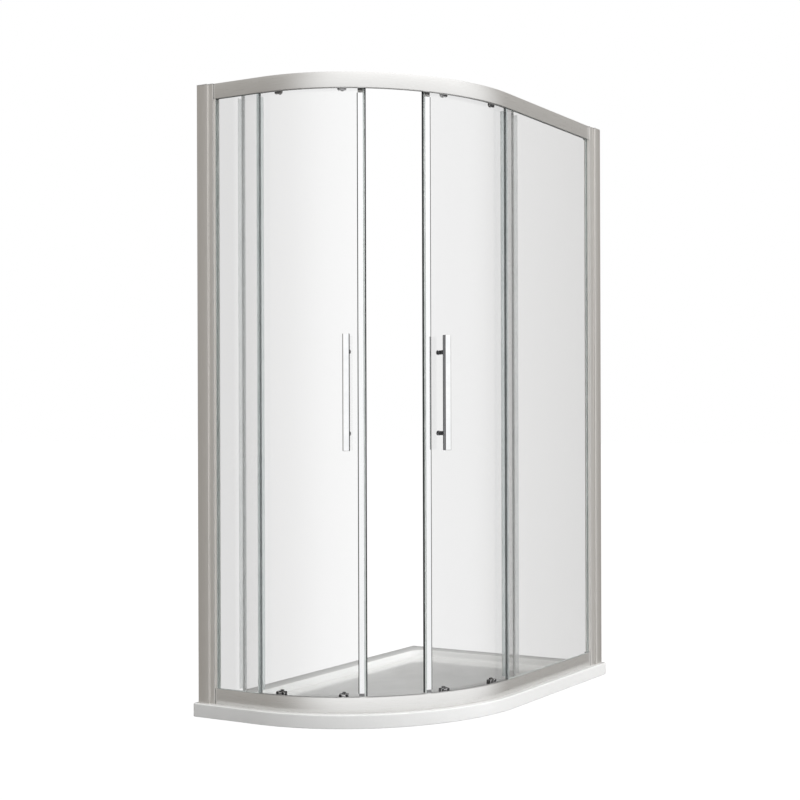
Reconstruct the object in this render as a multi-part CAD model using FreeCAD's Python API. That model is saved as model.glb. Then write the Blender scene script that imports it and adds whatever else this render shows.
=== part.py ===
import FreeCAD, Part
import math
import os

# Offset quadrant shower enclosure: a low tray with one large rounded corner, an aluminium frame
# with a fixed glass at each wall, and two curved glass doors that meet in the middle of the bend.
#
# Millimetres, +Z up. The origin is the centre of the tray's rectangle, on the floor. The long wall
# is on the -X side, the short wall on the +Y side, and the rounded corner points to (+X, -Y).
#
# Three local measures are used everywhere:
#   s  distance from the wall along a straight leg of the frame
#   t  depth from the outer face of the rails towards the inside
#   h  height above the closed side of a rail (the top rail is the bottom rail turned over)
# Doors are measured by the angle back from their leading edge.

# ---- tray ----
TRAY_WIDTH = 800.0
TRAY_LENGTH = 1200.0
TRAY_HEIGHT = 40.0
TRAY_CORNER_RADIUS = 550.0
TRAY_SMALL_RADIUS = 8.0
TRAY_EDGE_ROUND = 4.0
RIM_WIDTH = 60.0
RIM_BEVEL = 3.0
BOWL_WALL_RUN = 7.0
BOWL_WALL_DROP = 13.0
BOWL_COVE_RUN = 14.0
BOWL_COVE_DROP = 6.0
BOWL_CORNER_RADIUS = 60.0
FLOOR_FALL = 3.0
WASTE_RADIUS = 45.0
WASTE_INSET = 295.0

# ---- frame as a whole ----
FRAME_HEIGHT = 1850.0
RAIL_INSET = 22.0
WALL_INSET = 12.0
SEAT_GAP = 0.25
SCREW_CLEARANCE = 0.1

# ---- wall profile ----
PROFILE_DEPTH = 40.0
PROFILE_WIDTH = 36.0
PROFILE_WALL = 2.0
PROFILE_LIP = 3.0
PROFILE_PROUD = 9.0
WALL_HOLE_RADIUS = 2.75
WALL_HOLE_SPACING = 700.0
WALL_HOLE_HEIGHT = 910.0

# ---- side post, slides in the wall profile ----
POST_DEPTH = 47.0
POST_WIDTH = 26.0
POST_WALL = 1.6
POST_PROUD = 4.0
POST_RETURN = 4.0
POST_CLEARANCE = 0.3
PULL_OUT_LEFT = 10.0
PULL_OUT_RIGHT = 23.0
GLAZING_LIP_WALL = 1.8
GLAZING_OUTER_LIP = 5.0
GLAZING_INNER_LIP = 11.0
CAP_THICKNESS = 2.0
CAP_PLUG_DEPTH = 8.0

# ---- fixed glass and its seals ----
GLASS_THICKNESS = 6.0
FIXED_GLASS_SETBACK = 6.0
FIXED_GLASS_END_GAP = 0.5
LEFT_EDGE_SHORT = 14.0
RIGHT_EDGE_SHORT = 0.0
POST_GASKET = 1.8
SLOT_GASKET_FLOOR = 2.0
SLOT_GASKET_RISE = 0.5
SLOT_GASKET_FIT = 0.3
EDGE_SEAL_CLIP = 9.0
EDGE_SEAL_WALL = 1.2
EDGE_SEAL_WEB = 1.5
EDGE_SEAL_FIN_END = 25.0
EDGE_SEAL_FIN_SHORT = 8.0
RAIL_GAP = 0.3

# ---- rail section ----
RAIL_HEIGHT = 45.0
RAIL_DEPTH = 25.0
RAIL_WALL = 1.8
RAIL_INNER_WALL = 1.5
SLOT_DEPTH = 16.5
SLOT_SIDE_GAP = 1.5
SLOT_LIP_HEIGHT = 2.0
TRACK_HEIGHT = 33.0
TRACK_WALL = 1.8
TRACK_LIP_WALL = 1.4
TRACK_LIP_DEPTH = 3.0

# ---- corner blocks, rail screws, stops, infill strips ----
BLOCK_FLANGE = 1.5
BLOCK_PLUG_LENGTH = 30.0
BLOCK_PLUG_FIT = 0.2
RAIL_SCREW_RADIUS = 2.0
RAIL_SCREW_HEAD_RADIUS = 4.0
RAIL_SCREW_HEAD = 2.5
RAIL_SCREW_REACH = 22.0
RAIL_SCREW_SPACING = 13.0
STOP_LENGTH = 12.0
STOP_HEIGHT = 15.0
STOP_GAP = 0.5
INFILL_FIT = 0.2
INFILL_THICKNESS = 3.5
INFILL_HOOK = 1.8
INFILL_RISE = 0.5

# ---- adjusting screws between wall profile and post ----
ADJUST_SPACING = 650.0
ADJUST_FROM_WALL = 32.0
ADJUST_RADIUS = 2.1
ADJUST_REACH = 10.0
ADJUST_HEAD_RADIUS = 4.0
ADJUST_HEAD = 2.2
SCREW_CAP_WALL = 1.3
SCREW_CAP_FIT = 0.2

# ---- doors ----
MEETING_ANGLE = -45.0
LEFT_DOOR_OPEN = 10.0
RIGHT_DOOR_OPEN = 9.2
DOOR_SPAN = 47.2
LEAD_ROLLER_ANGLE = 7.9
TRAIL_ROLLER_ANGLE = 30.4
TRACK_OVERRUN = 5.1
DOOR_GLASS_BASE = 36.0
DOOR_GLASS_CROWN = 24.0
MEETING_GAP = 0.15

# ---- leading profile, magnet seal, trailing seal ----
MAGNET_REACH = 8.5
MAGNET_THICKNESS = 7.4
MAGNET_NECK = 2.5
MAGNET_NECK_THICKNESS = 4.0
LEAD_PROFILE_WIDTH = 15.0
LEAD_PROFILE_WALL = 1.6
LEAD_PROFILE_WEB = 2.0
LEAD_PROFILE_BASE = 52.0
LEAD_PROFILE_CROWN = 55.0
LEAD_CAP_HEIGHT = 8.0
LEAD_CAP_NECK = 7.0
LEAD_CAP_NECK_STEP = 0.5
TRAIL_SEAL_CLIP = 10.0
TRAIL_SEAL_WALL = 1.2
TRAIL_SEAL_WEB = 1.5
TRAIL_SEAL_FIN_END = 14.6
TRAIL_SEAL_BASE = 39.0
TRAIL_SEAL_CROWN = 30.0
TRAIL_SEAL_SHORT = 2.0
TRAIL_SEAL_JOINT = 36.0
TRAIL_SEAL_JOINT_GAP = 0.3

# ---- door handle ----
HANDLE_ANGLE = 6.15
HANDLE_HEIGHT = 925.0
HANDLE_LENGTH = 337.0
HANDLE_SIZE = 20.0
HANDLE_ROUND = 4.0
HANDLE_CLEAR = 35.0
STANDOFF_RADIUS = 6.25
STANDOFF_SPACING = 238.0
FIXING_RADIUS = 3.0
FIXING_DISC_RADIUS = 8.0
FIXING_DISC = 3.0
GLASS_HOLE_MARGIN = 1.0
FIXING_END_GAP = 0.05

# ---- wheels and axles ----
WHEEL_RADIUS = 10.7
WHEEL_WIDTH = 4.6
WHEEL_BEVEL = 0.6
WHEEL_WALL_GAP = 1.0
WHEEL_TRACK_GAP = 0.3
WHEEL_POCKET_RADIUS = 5.3
WHEEL_POCKET_DEPTH = 1.6
AXLE_RADIUS = 3.0
AXLE_CLEARANCE = 0.05
AXLE_HEAD_RADIUS = 4.6
AXLE_HEAD = 1.0
AXLE_SIDE_GAP = 0.3
AXLE_BOSS_RADIUS = 4.5

# ---- top hangers ----
HANGER_PLATE = 2.35
HANGER_RUNNING_GAP = 0.4
HANGER_WIDTH = 26.0
HANGER_FROM = 13.0
HANGER_TO = 49.5
HANGER_ROUND = 5.0
CLAMP_HEIGHT = 41.0
CLAMP_DISC_RADIUS = 8.5
CLAMP_DISC = 4.0

# ---- bottom carriers and their release slides ----
CARRIER_WIDTH = 26.0
CARRIER_DEPTH = 11.75
CARRIER_BASE = 20.0
CARRIER_HEIGHT = 31.0
CARRIER_BEVEL = 2.0
LOBE_RADIUS = 5.0
LOBE_SPACING = 18.8
LOBE_HEIGHT = 47.0
BRIDGE_FROM = 37.0
BRIDGE_TO = 49.5
CARRIER_SCREW_RADIUS = 1.75
CARRIER_SCREW_HEAD_RADIUS = 4.3
CARRIER_SCREW_HEAD = 1.2
CARRIER_SCREW_REACH = 8.0
SLIDE_SIZE = 6.0
SLIDE_WIDTH = 14.0
SLIDE_WALL = 2.75
SLIDE_FIT = 0.2
SLIDE_ROOF = 3.0
SLIDE_NECK_SHOULDER = 2.0
BUTTON_RISE = 4.6
BUTTON_ROUND = 1.0
FOOT_WIDTH = 9.6
FOOT_HEIGHT = 10.0
FOOT_RADIUS = 4.0
FOOT_FIT = 0.4

# ---- places that follow from the sizes ----
Z_AXIS = FreeCAD.Vector(0, 0, 1)
ARC_X = TRAY_WIDTH / 2 - TRAY_CORNER_RADIUS
ARC_Y = TRAY_CORNER_RADIUS - TRAY_LENGTH / 2
ARC_CENTRE = FreeCAD.Vector(ARC_X, ARC_Y, 0)
RAIL_RADIUS = TRAY_CORNER_RADIUS - RAIL_INSET
FRONT_Y = RAIL_INSET - TRAY_LENGTH / 2
FRONT_X = TRAY_WIDTH / 2 - RAIL_INSET
WALL_X = WALL_INSET - TRAY_WIDTH / 2
WALL_Y = TRAY_LENGTH / 2 - WALL_INSET
BASE_Z = TRAY_HEIGHT
TOP_Z = TRAY_HEIGHT + FRAME_HEIGHT

SLOT_OUTER = FIXED_GLASS_SETBACK - SLOT_SIDE_GAP
FIXED_GLASS_BACK = FIXED_GLASS_SETBACK + GLASS_THICKNESS
SLOT_INNER = FIXED_GLASS_BACK + SLOT_SIDE_GAP
SLOT_FLOOR = RAIL_HEIGHT - SLOT_DEPTH
TRACK_WALL_FACE = SLOT_INNER + RAIL_INNER_WALL
CHAMBER_TOP = SLOT_FLOOR - RAIL_INNER_WALL
BETWEEN_RAILS = (BASE_Z + RAIL_HEIGHT + RAIL_GAP, TOP_Z - RAIL_HEIGHT - RAIL_GAP)

HANGER_FACE = RAIL_DEPTH + HANGER_RUNNING_GAP
DOOR_FACE = HANGER_FACE + HANGER_PLATE + SEAT_GAP
DOOR_BACK = DOOR_FACE + GLASS_THICKNESS
DOOR_RADIUS = RAIL_RADIUS - DOOR_FACE
DOOR_BASE_Z = BASE_Z + DOOR_GLASS_BASE
DOOR_TOP_Z = TOP_Z - DOOR_GLASS_CROWN
WHEEL_FACE = TRACK_WALL_FACE + WHEEL_WALL_GAP
WHEEL_BACK = WHEEL_FACE + WHEEL_WIDTH
WHEEL_HEIGHT = TRACK_HEIGHT - WHEEL_TRACK_GAP - WHEEL_RADIUS
BOTTOM_WHEEL_Z = BASE_Z + WHEEL_HEIGHT
TOP_WHEEL_Z = TOP_Z - WHEEL_HEIGHT
BOSS_END = WHEEL_BACK + AXLE_SIDE_GAP
HEAD_BACK = WHEEL_FACE + WHEEL_POCKET_DEPTH - AXLE_SIDE_GAP


def face_of(points):
    """Flat face inside a closed line of straight edges."""
    return Part.Face(Part.makePolygon(points + [points[0]]))


def joined(shapes):
    """One solid from touching or crossing solids, without the seams between flush faces."""
    first, *others = shapes
    return first.fuse(others).removeSplitter()


class Leg:
    """A straight leg of the frame, with s along it from the wall and t inwards from its outer face."""

    def __init__(self, corner, along, inward, pull_out, edge_short):
        self.corner = corner
        self.along = along
        self.inward = inward
        self.pull_out = pull_out
        self.arc_start = abs((ARC_CENTRE - corner).dot(along))
        self.post_end = pull_out + POST_DEPTH
        self.rail_start = self.post_end + BLOCK_FLANGE
        self.glass_start = self.rail_start + FIXED_GLASS_END_GAP
        self.glass_end = self.arc_start - edge_short

    def point(self, s, t, z):
        return self.corner + self.along * s + self.inward * t + Z_AXIS * z

    def prism(self, outline, z_from, z_to):
        """Upright prism over an outline of (s, t) points."""
        face = face_of([self.point(s, t, z_from) for s, t in outline])
        return face.extrude(Z_AXIS * (z_to - z_from))

    def box(self, s_range, t_range, z_range):
        (s0, s1), (t0, t1), (z0, z1) = s_range, t_range, z_range
        return self.prism([(s0, t0), (s1, t0), (s1, t1), (s0, t1)], z0, z1)

    def bar(self, section, s_from, s_to):
        """Bar along the leg with a section of (t, z) points."""
        face = face_of([self.point(s_from, t, z) for t, z in section])
        return face.extrude(self.along * (s_to - s_from))

    def rod_along(self, radius, s_from, s_to, t, z):
        return Part.makeCylinder(radius, s_to - s_from, self.point(s_from, t, z), self.along)

    def rod_inward(self, radius, s, t_from, t_to, z):
        return Part.makeCylinder(radius, t_to - t_from, self.point(s, t_from, z), self.inward)


LEFT = Leg(FreeCAD.Vector(WALL_X, FRONT_Y, 0), FreeCAD.Vector(1, 0, 0), FreeCAD.Vector(0, 1, 0),
           PULL_OUT_LEFT, LEFT_EDGE_SHORT)
RIGHT = Leg(FreeCAD.Vector(FRONT_X, WALL_Y, 0), FreeCAD.Vector(0, -1, 0), FreeCAD.Vector(-1, 0, 0),
            PULL_OUT_RIGHT, RIGHT_EDGE_SHORT)
LEGS = {"left": LEFT, "right": RIGHT}


def radial_point(t, w, z):
    """Point at depth t, w sideways and height z, in the radial plane that faces +X."""
    return FreeCAD.Vector(ARC_X + RAIL_RADIUS - t, ARC_Y + w, z)


def radial_box(t_range, w_range, z_range):
    (t0, t1), (w0, w1), (z0, z1) = t_range, w_range, z_range
    return Part.makeBox(t1 - t0, w1 - w0, z1 - z0, radial_point(t1, w0, z0))


def radial_rod(radius, t_from, t_to, z, w=0.0):
    return Part.makeCylinder(radius, t_to - t_from, radial_point(t_to, w, z), FreeCAD.Vector(1, 0, 0))


def swept_section(section, start, end):
    """Section of (t, z) points turned about the bend's centre, between two angles."""
    face = face_of([radial_point(t, 0, z) for t, z in section])
    solid = face.revolve(ARC_CENTRE, Z_AXIS, end - start)
    solid.rotate(ARC_CENTRE, Z_AXIS, start)
    return solid


def sector(t_range, start, end, z_range):
    """Curved slab between two depths, two angles and two heights."""
    (t0, t1), (z0, z1) = t_range, z_range
    return swept_section([(t0, z0), (t1, z0), (t1, z1), (t0, z1)], start, end)


def arc_degrees(length):
    """Angle that a length along the outer face of a door takes up."""
    return math.degrees(length / DOOR_RADIUS)


def frame_run(section):
    """Section of (t, z) points carried along both legs and round the bend between them."""
    left = LEFT.bar(section, LEFT.rail_start, LEFT.arc_start)
    bend = swept_section(section, -90, 0)
    right = RIGHT.bar(section, RIGHT.rail_start, RIGHT.arc_start)
    return joined([left, bend, right])


class Door:
    """A sliding door, with angles measured back from its leading edge."""

    def __init__(self, lead, turn):
        self.lead = lead
        self.turn = turn
        self.rollers = {"lead": LEAD_ROLLER_ANGLE, "trail": TRAIL_ROLLER_ANGLE}

    def angle(self, back):
        return self.lead + self.turn * back

    def sector(self, t_range, back_from, back_to, z_range):
        start, end = sorted((self.angle(back_from), self.angle(back_to)))
        return sector(t_range, start, end, z_range)

    def at(self, back, shape):
        """Shape that was made facing +X, turned to its place on the door."""
        return shape.rotated(ARC_CENTRE, Z_AXIS, self.angle(back))


DOORS = {
    "left": Door(MEETING_ANGLE - LEFT_DOOR_OPEN, -1),
    "right": Door(MEETING_ANGLE + RIGHT_DOOR_OPEN, 1),
}


# ---- tray ----
def tray_outline(inset, small_radius, z):
    """Tray outline set in by a distance: four straight edges, three small corners and the bend."""
    x0, x1 = inset - TRAY_WIDTH / 2, TRAY_WIDTH / 2 - inset
    y0, y1 = inset - TRAY_LENGTH / 2, TRAY_LENGTH / 2 - inset
    r = small_radius
    k = r * (1 - math.sqrt(0.5))
    bend = (TRAY_CORNER_RADIUS - inset) * math.sqrt(0.5)
    corners = [
        ((x0 + r, y0), (ARC_X, y0), None),
        ((ARC_X, y0), (x1, ARC_Y), (ARC_X + bend, ARC_Y - bend)),
        ((x1, ARC_Y), (x1, y1 - r), None),
        ((x1, y1 - r), (x1 - r, y1), (x1 - k, y1 - k)),
        ((x1 - r, y1), (x0 + r, y1), None),
        ((x0 + r, y1), (x0, y1 - r), (x0 + k, y1 - k)),
        ((x0, y1 - r), (x0, y0 + r), None),
        ((x0, y0 + r), (x0 + r, y0), (x0 + k, y0 + k)),
    ]
    edges = []
    for start, end, middle in corners:
        a = FreeCAD.Vector(*start, z)
        b = FreeCAD.Vector(*end, z)
        if middle is None:
            edges.append(Part.makeLine(a, b))
        else:
            edges.append(Part.Arc(a, FreeCAD.Vector(*middle, z), b).toShape())
    return Part.Wire(edges)


def waste_ring(outline, z):
    """Circle round the waste, in as many arcs as the outline has edges, each facing its own edge."""
    centre = FreeCAD.Vector(TRAY_WIDTH / 2 - WASTE_INSET, WASTE_INSET - TRAY_LENGTH / 2, z)

    def on_ring(bearing):
        return centre + FreeCAD.Vector(math.cos(bearing), math.sin(bearing), 0) * WASTE_RADIUS

    bearings = []
    for edge in outline.Edges:
        towards = edge.Curve.value(edge.FirstParameter) - centre
        bearings.append(math.atan2(towards.y, towards.x))
    arcs = []
    for start, end in zip(bearings, bearings[1:] + bearings[:1]):
        turn = (end - start) % (2 * math.pi)
        arcs.append(Part.Arc(on_ring(start), on_ring(start + turn / 2), on_ring(end)).toShape())
    return centre, Part.Wire(arcs)


def shower_tray():
    slab = Part.Face(tray_outline(0, TRAY_SMALL_RADIUS, 0)).extrude(Z_AXIS * TRAY_HEIGHT)
    top_edges = [e for e in slab.Edges if e.BoundBox.ZMin > TRAY_HEIGHT / 2]
    slab = slab.makeFillet(TRAY_EDGE_ROUND, top_edges)
    steps = [(0, 0), (RIM_BEVEL, RIM_BEVEL), (BOWL_WALL_RUN, BOWL_WALL_DROP), (BOWL_COVE_RUN, BOWL_COVE_DROP)]
    inset, z = RIM_WIDTH, TRAY_HEIGHT
    rings = []
    for run, drop in steps:
        inset += run
        z -= drop
        rings.append(tray_outline(inset, BOWL_CORNER_RADIUS - (inset - RIM_WIDTH), z))
    bowl = Part.makeLoft(rings, True, True)
    centre, ring = waste_ring(rings[-1], z - FLOOR_FALL)
    fall = Part.makeLoft([rings[-1], ring], True, True)
    waste = Part.makeCylinder(WASTE_RADIUS, TRAY_HEIGHT, FreeCAD.Vector(centre.x, centre.y, 0))
    return slab.cut([bowl, fall, waste])


# ---- frame ----
def wall_hole_heights():
    middle = BASE_Z + WALL_HOLE_HEIGHT
    return [middle - WALL_HOLE_SPACING, middle, middle + WALL_HOLE_SPACING]


def adjust_heights():
    middle = BASE_Z + WALL_HOLE_HEIGHT
    return [middle - ADJUST_SPACING, middle, middle + ADJUST_SPACING]


def wall_profile(leg):
    """Channel with its web on the wall and lips at its mouth that guide the post."""
    t0, t1 = -PROFILE_PROUD, PROFILE_WIDTH - PROFILE_PROUD
    w = PROFILE_WALL
    lip_outer = -POST_PROUD - POST_CLEARANCE
    lip_inner = POST_WIDTH - POST_PROUD + POST_CLEARANCE
    lip_from = PROFILE_DEPTH - PROFILE_LIP
    outline = [
        (0, t0), (PROFILE_DEPTH, t0), (PROFILE_DEPTH, lip_outer), (lip_from, lip_outer),
        (lip_from, t0 + w), (w, t0 + w), (w, t1 - w), (lip_from, t1 - w),
        (lip_from, lip_inner), (PROFILE_DEPTH, lip_inner), (PROFILE_DEPTH, t1), (0, t1),
    ]
    channel = leg.prism(outline, BASE_Z, TOP_Z - CAP_THICKNESS)
    middle = (t0 + t1) / 2
    holes = [leg.rod_along(WALL_HOLE_RADIUS, 0, w, middle, z) for z in wall_hole_heights()]
    radius = ADJUST_RADIUS + SCREW_CLEARANCE
    holes += [leg.rod_inward(radius, ADJUST_FROM_WALL, t1 - w, t1, z) for z in adjust_heights()]
    return channel.cut(holes)


def rail_screw_places():
    """Depth and heights of the two screws at each rail end."""
    t = (RAIL_WALL + SLOT_INNER) / 2
    middle = (RAIL_WALL + CHAMBER_TOP) / 2
    rise = RAIL_SCREW_SPACING / 2
    heights = [middle - rise, middle + rise]
    return t, [BASE_Z + h for h in heights] + [TOP_Z - h for h in heights]


def side_post(leg):
    """Channel open to the wall, with a closed front that carries the rails and two glazing lips."""
    s0, s1 = leg.pull_out, leg.post_end
    t0, t1 = -POST_PROUD, POST_WIDTH - POST_PROUD
    w = POST_WALL
    outline = [
        (s0, t0), (s1, t0), (s1, t1), (s0, t1), (s0, t1 - POST_RETURN), (s0 + w, t1 - POST_RETURN),
        (s0 + w, t1 - w), (s1 - w, t1 - w), (s1 - w, t0 + w), (s0 + w, t0 + w),
        (s0 + w, t0 + POST_RETURN), (s0, t0 + POST_RETURN),
    ]
    channel = leg.prism(outline, BASE_Z, TOP_Z - CAP_THICKNESS)
    outer_lip, inner_lip = post_lip_faces()
    lips = [
        leg.box((s1, s1 + GLAZING_OUTER_LIP), (outer_lip - GLAZING_LIP_WALL, outer_lip), BETWEEN_RAILS),
        leg.box((s1, s1 + GLAZING_INNER_LIP), (inner_lip, inner_lip + GLAZING_LIP_WALL), BETWEEN_RAILS),
    ]
    t, heights = rail_screw_places()
    holes = [leg.rod_along(RAIL_SCREW_RADIUS + SCREW_CLEARANCE, s1 - w, s1, t, z) for z in heights]
    radius = ADJUST_RADIUS + SCREW_CLEARANCE
    holes += [leg.rod_inward(radius, ADJUST_FROM_WALL, t1 - w, t1, z) for z in adjust_heights()]
    return joined([channel] + lips).cut(holes)


def post_lip_faces():
    """Depths of the two glazing lips' faces, with the gaskets between them and the glass."""
    return FIXED_GLASS_SETBACK - POST_GASKET, FIXED_GLASS_BACK + POST_GASKET


def rail_outline():
    """Rail section in (t, h): glazing slot outside, roller track open to the inside."""
    lip_top = TRACK_HEIGHT + TRACK_WALL
    return [
        (0, 0), (0, RAIL_HEIGHT), (SLOT_OUTER, RAIL_HEIGHT), (SLOT_OUTER, RAIL_HEIGHT - SLOT_LIP_HEIGHT),
        (RAIL_WALL, RAIL_HEIGHT - SLOT_LIP_HEIGHT), (RAIL_WALL, SLOT_FLOOR), (SLOT_INNER, SLOT_FLOOR),
        (SLOT_INNER, RAIL_HEIGHT), (TRACK_WALL_FACE, RAIL_HEIGHT), (TRACK_WALL_FACE, lip_top),
        (RAIL_DEPTH, lip_top), (RAIL_DEPTH, TRACK_HEIGHT - TRACK_LIP_DEPTH),
        (RAIL_DEPTH - TRACK_LIP_WALL, TRACK_HEIGHT - TRACK_LIP_DEPTH),
        (RAIL_DEPTH - TRACK_LIP_WALL, TRACK_HEIGHT), (TRACK_WALL_FACE, TRACK_HEIGHT),
        (TRACK_WALL_FACE, RAIL_WALL), (RAIL_DEPTH, RAIL_WALL), (RAIL_DEPTH, 0),
    ]


def chamber_outline(fit):
    """Closed chamber under the glazing slot, in (t, h), made smaller by a fit."""
    t0, t1 = RAIL_WALL + fit, SLOT_INNER - fit
    h0, h1 = RAIL_WALL + fit, CHAMBER_TOP - fit
    return [(t0, h0), (t1, h0), (t1, h1), (t0, h1)]


def upright(section):
    """Rail section points in (t, h) at the bottom of the frame."""
    return [(t, BASE_Z + h) for t, h in section]


def turned_over(section):
    """Rail section points in (t, h) at the top of the frame."""
    return [(t, TOP_Z - h) for t, h in section]


def rail(placed):
    return frame_run(placed(rail_outline())).cut(frame_run(placed(chamber_outline(0))))


def corner_blocks():
    """Flange between each rail end and its post, with a plug in the rail's chamber."""
    end = [(0, 0), (RAIL_DEPTH, 0), (RAIL_DEPTH, RAIL_HEIGHT), (0, RAIL_HEIGHT)]
    t, heights = rail_screw_places()
    blocks = []
    for leg in LEGS.values():
        plug_end = leg.rail_start + BLOCK_PLUG_LENGTH
        holes = [leg.rod_along(RAIL_SCREW_RADIUS + SCREW_CLEARANCE, leg.post_end, plug_end, t, z)
                 for z in heights]
        for placed in (upright, turned_over):
            flange = leg.bar(placed(end), leg.post_end, leg.rail_start)
            plug = leg.bar(placed(chamber_outline(BLOCK_PLUG_FIT)), leg.rail_start, plug_end)
            blocks.append(joined([flange, plug]).cut(holes))
    return Part.makeCompound(blocks)


def rail_screws():
    t, heights = rail_screw_places()
    screws = []
    for leg in LEGS.values():
        seat = leg.post_end - POST_WALL
        for z in heights:
            head = leg.rod_along(RAIL_SCREW_HEAD_RADIUS, seat - RAIL_SCREW_HEAD, seat, t, z)
            shank = leg.rod_along(RAIL_SCREW_RADIUS, seat, leg.rail_start + RAIL_SCREW_REACH, t, z)
            screws.append(joined([head, shank]))
    return Part.makeCompound(screws)


def adjusting_screws():
    seat = PROFILE_WIDTH - PROFILE_PROUD
    screws = []
    for leg in LEGS.values():
        for z in adjust_heights():
            head = leg.rod_inward(ADJUST_HEAD_RADIUS, ADJUST_FROM_WALL, seat, seat + ADJUST_HEAD, z)
            shank = leg.rod_inward(ADJUST_RADIUS, ADJUST_FROM_WALL, seat - ADJUST_REACH, seat, z)
            screws.append(joined([head, shank]))
    return Part.makeCompound(screws)


def screw_caps():
    seat = PROFILE_WIDTH - PROFILE_PROUD
    inner_radius = ADJUST_HEAD_RADIUS + SCREW_CAP_FIT
    inner_top = seat + ADJUST_HEAD + SCREW_CAP_FIT
    caps = []
    for leg in LEGS.values():
        for z in adjust_heights():
            cap = leg.rod_inward(inner_radius + SCREW_CAP_WALL, ADJUST_FROM_WALL, seat,
                                 inner_top + SCREW_CAP_WALL, z)
            caps.append(cap.cut(leg.rod_inward(inner_radius, ADJUST_FROM_WALL, seat, inner_top, z)))
    return Part.makeCompound(caps)


def top_caps():
    """Plate over each wall profile and post, with a plug in the post beside the rail screws."""
    t0, t1 = -PROFILE_PROUD, PROFILE_WIDTH - PROFILE_PROUD
    p0, p1 = -POST_PROUD, POST_WIDTH - POST_PROUD
    inside = POST_WALL + BLOCK_PLUG_FIT
    z = TOP_Z - CAP_THICKNESS
    caps = []
    for leg in LEGS.values():
        outline = [
            (0, t0), (PROFILE_DEPTH, t0), (PROFILE_DEPTH, p0), (leg.post_end, p0),
            (leg.post_end, p1), (PROFILE_DEPTH, p1), (PROFILE_DEPTH, t1), (0, t1),
        ]
        plate = leg.prism(outline, z, TOP_Z)
        plug_end = leg.post_end - inside - RAIL_SCREW_HEAD
        plug = leg.box((leg.pull_out + inside, plug_end), (p0 + inside, p1 - inside),
                       (z - CAP_PLUG_DEPTH, z))
        caps.append(joined([plate, plug]))
    return Part.makeCompound(caps)


# ---- fixed glass ----
def fixed_glass(leg):
    h = SLOT_FLOOR + SLOT_GASKET_FLOOR
    return leg.box((leg.glass_start, leg.glass_end), (FIXED_GLASS_SETBACK, FIXED_GLASS_BACK),
                   (BASE_Z + h, TOP_Z - h))


def slot_gasket_outline():
    """U gasket round the glass edge in the rail's slot, in (t, h)."""
    t0, t1 = SLOT_OUTER + SLOT_GASKET_FIT, SLOT_INNER - SLOT_GASKET_FIT
    top = RAIL_HEIGHT + SLOT_GASKET_RISE
    seat = SLOT_FLOOR + SLOT_GASKET_FLOOR
    foot = RAIL_WALL + SLOT_GASKET_FIT
    shoulder = RAIL_HEIGHT - SLOT_LIP_HEIGHT - SLOT_GASKET_FIT
    return [
        (foot, SLOT_FLOOR), (foot, shoulder), (t0, shoulder), (t0, top), (FIXED_GLASS_SETBACK, top),
        (FIXED_GLASS_SETBACK, seat), (FIXED_GLASS_BACK, seat), (FIXED_GLASS_BACK, top), (t1, top),
        (t1, SLOT_FLOOR),
    ]


def glazing_gaskets(leg):
    outer_lip, inner_lip = post_lip_faces()
    rise = SLOT_GASKET_RISE
    upright_range = (BETWEEN_RAILS[0] + rise, BETWEEN_RAILS[1] - rise)
    slots = [leg.bar(placed(slot_gasket_outline()), leg.glass_start, leg.glass_end)
             for placed in (upright, turned_over)]
    outer = leg.box((leg.glass_start, leg.post_end + GLAZING_OUTER_LIP), (outer_lip, FIXED_GLASS_SETBACK),
                    upright_range)
    inner = leg.box((leg.glass_start, leg.post_end + GLAZING_INNER_LIP), (FIXED_GLASS_BACK, inner_lip),
                    upright_range)
    return Part.makeCompound(slots + [outer, inner])


def edge_seal(leg):
    """Clip over the free edge of the fixed glass, with a fin that reaches in towards the door."""
    s = leg.glass_end
    t0, t1 = FIXED_GLASS_SETBACK, FIXED_GLASS_BACK
    w = EDGE_SEAL_WALL
    clip = [
        (s - EDGE_SEAL_CLIP, t0 - w), (s + EDGE_SEAL_WEB, t0 - w), (s + EDGE_SEAL_WEB, t1 + w),
        (s - EDGE_SEAL_CLIP, t1 + w), (s - EDGE_SEAL_CLIP, t1), (s, t1), (s, t0), (s - EDGE_SEAL_CLIP, t0),
    ]
    rise = SLOT_GASKET_RISE
    z0, z1 = BETWEEN_RAILS[0] + rise, BETWEEN_RAILS[1] - rise
    body = leg.prism(clip, z0, z1)
    fin = leg.box((s, s + EDGE_SEAL_WEB), (t1 + w, EDGE_SEAL_FIN_END),
                  (z0 + EDGE_SEAL_FIN_SHORT, z1 - EDGE_SEAL_FIN_SHORT))
    return joined([body, fin])


def infill_strip(placed):
    """Strip that closes the glazing slot of a rail along the bend, between the fixed glasses."""
    t0, t1 = SLOT_OUTER + INFILL_FIT, SLOT_INNER - INFILL_FIT
    top = RAIL_HEIGHT + INFILL_RISE
    hook_top = RAIL_HEIGHT - SLOT_LIP_HEIGHT - INFILL_FIT
    foot = RAIL_WALL + INFILL_FIT
    section = [
        (foot, hook_top - INFILL_HOOK), (foot, hook_top), (t0, hook_top), (t0, top), (t1, top),
        (t1, top - INFILL_THICKNESS), (t0, top - INFILL_THICKNESS), (t0, hook_top - INFILL_HOOK),
    ]
    run = frame_run(placed(section))
    edge = EDGE_SEAL_WEB + INFILL_FIT
    left_end = LEFT.glass_end + edge
    right_end = RIGHT.glass_end + edge
    low = LEFT.point(left_end, 0, 0)
    high = RIGHT.point(right_end, 0, TOP_Z)
    between = Part.makeBox(high.x - low.x, high.y - low.y, high.z - low.z, low)
    return run.common(between)


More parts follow.
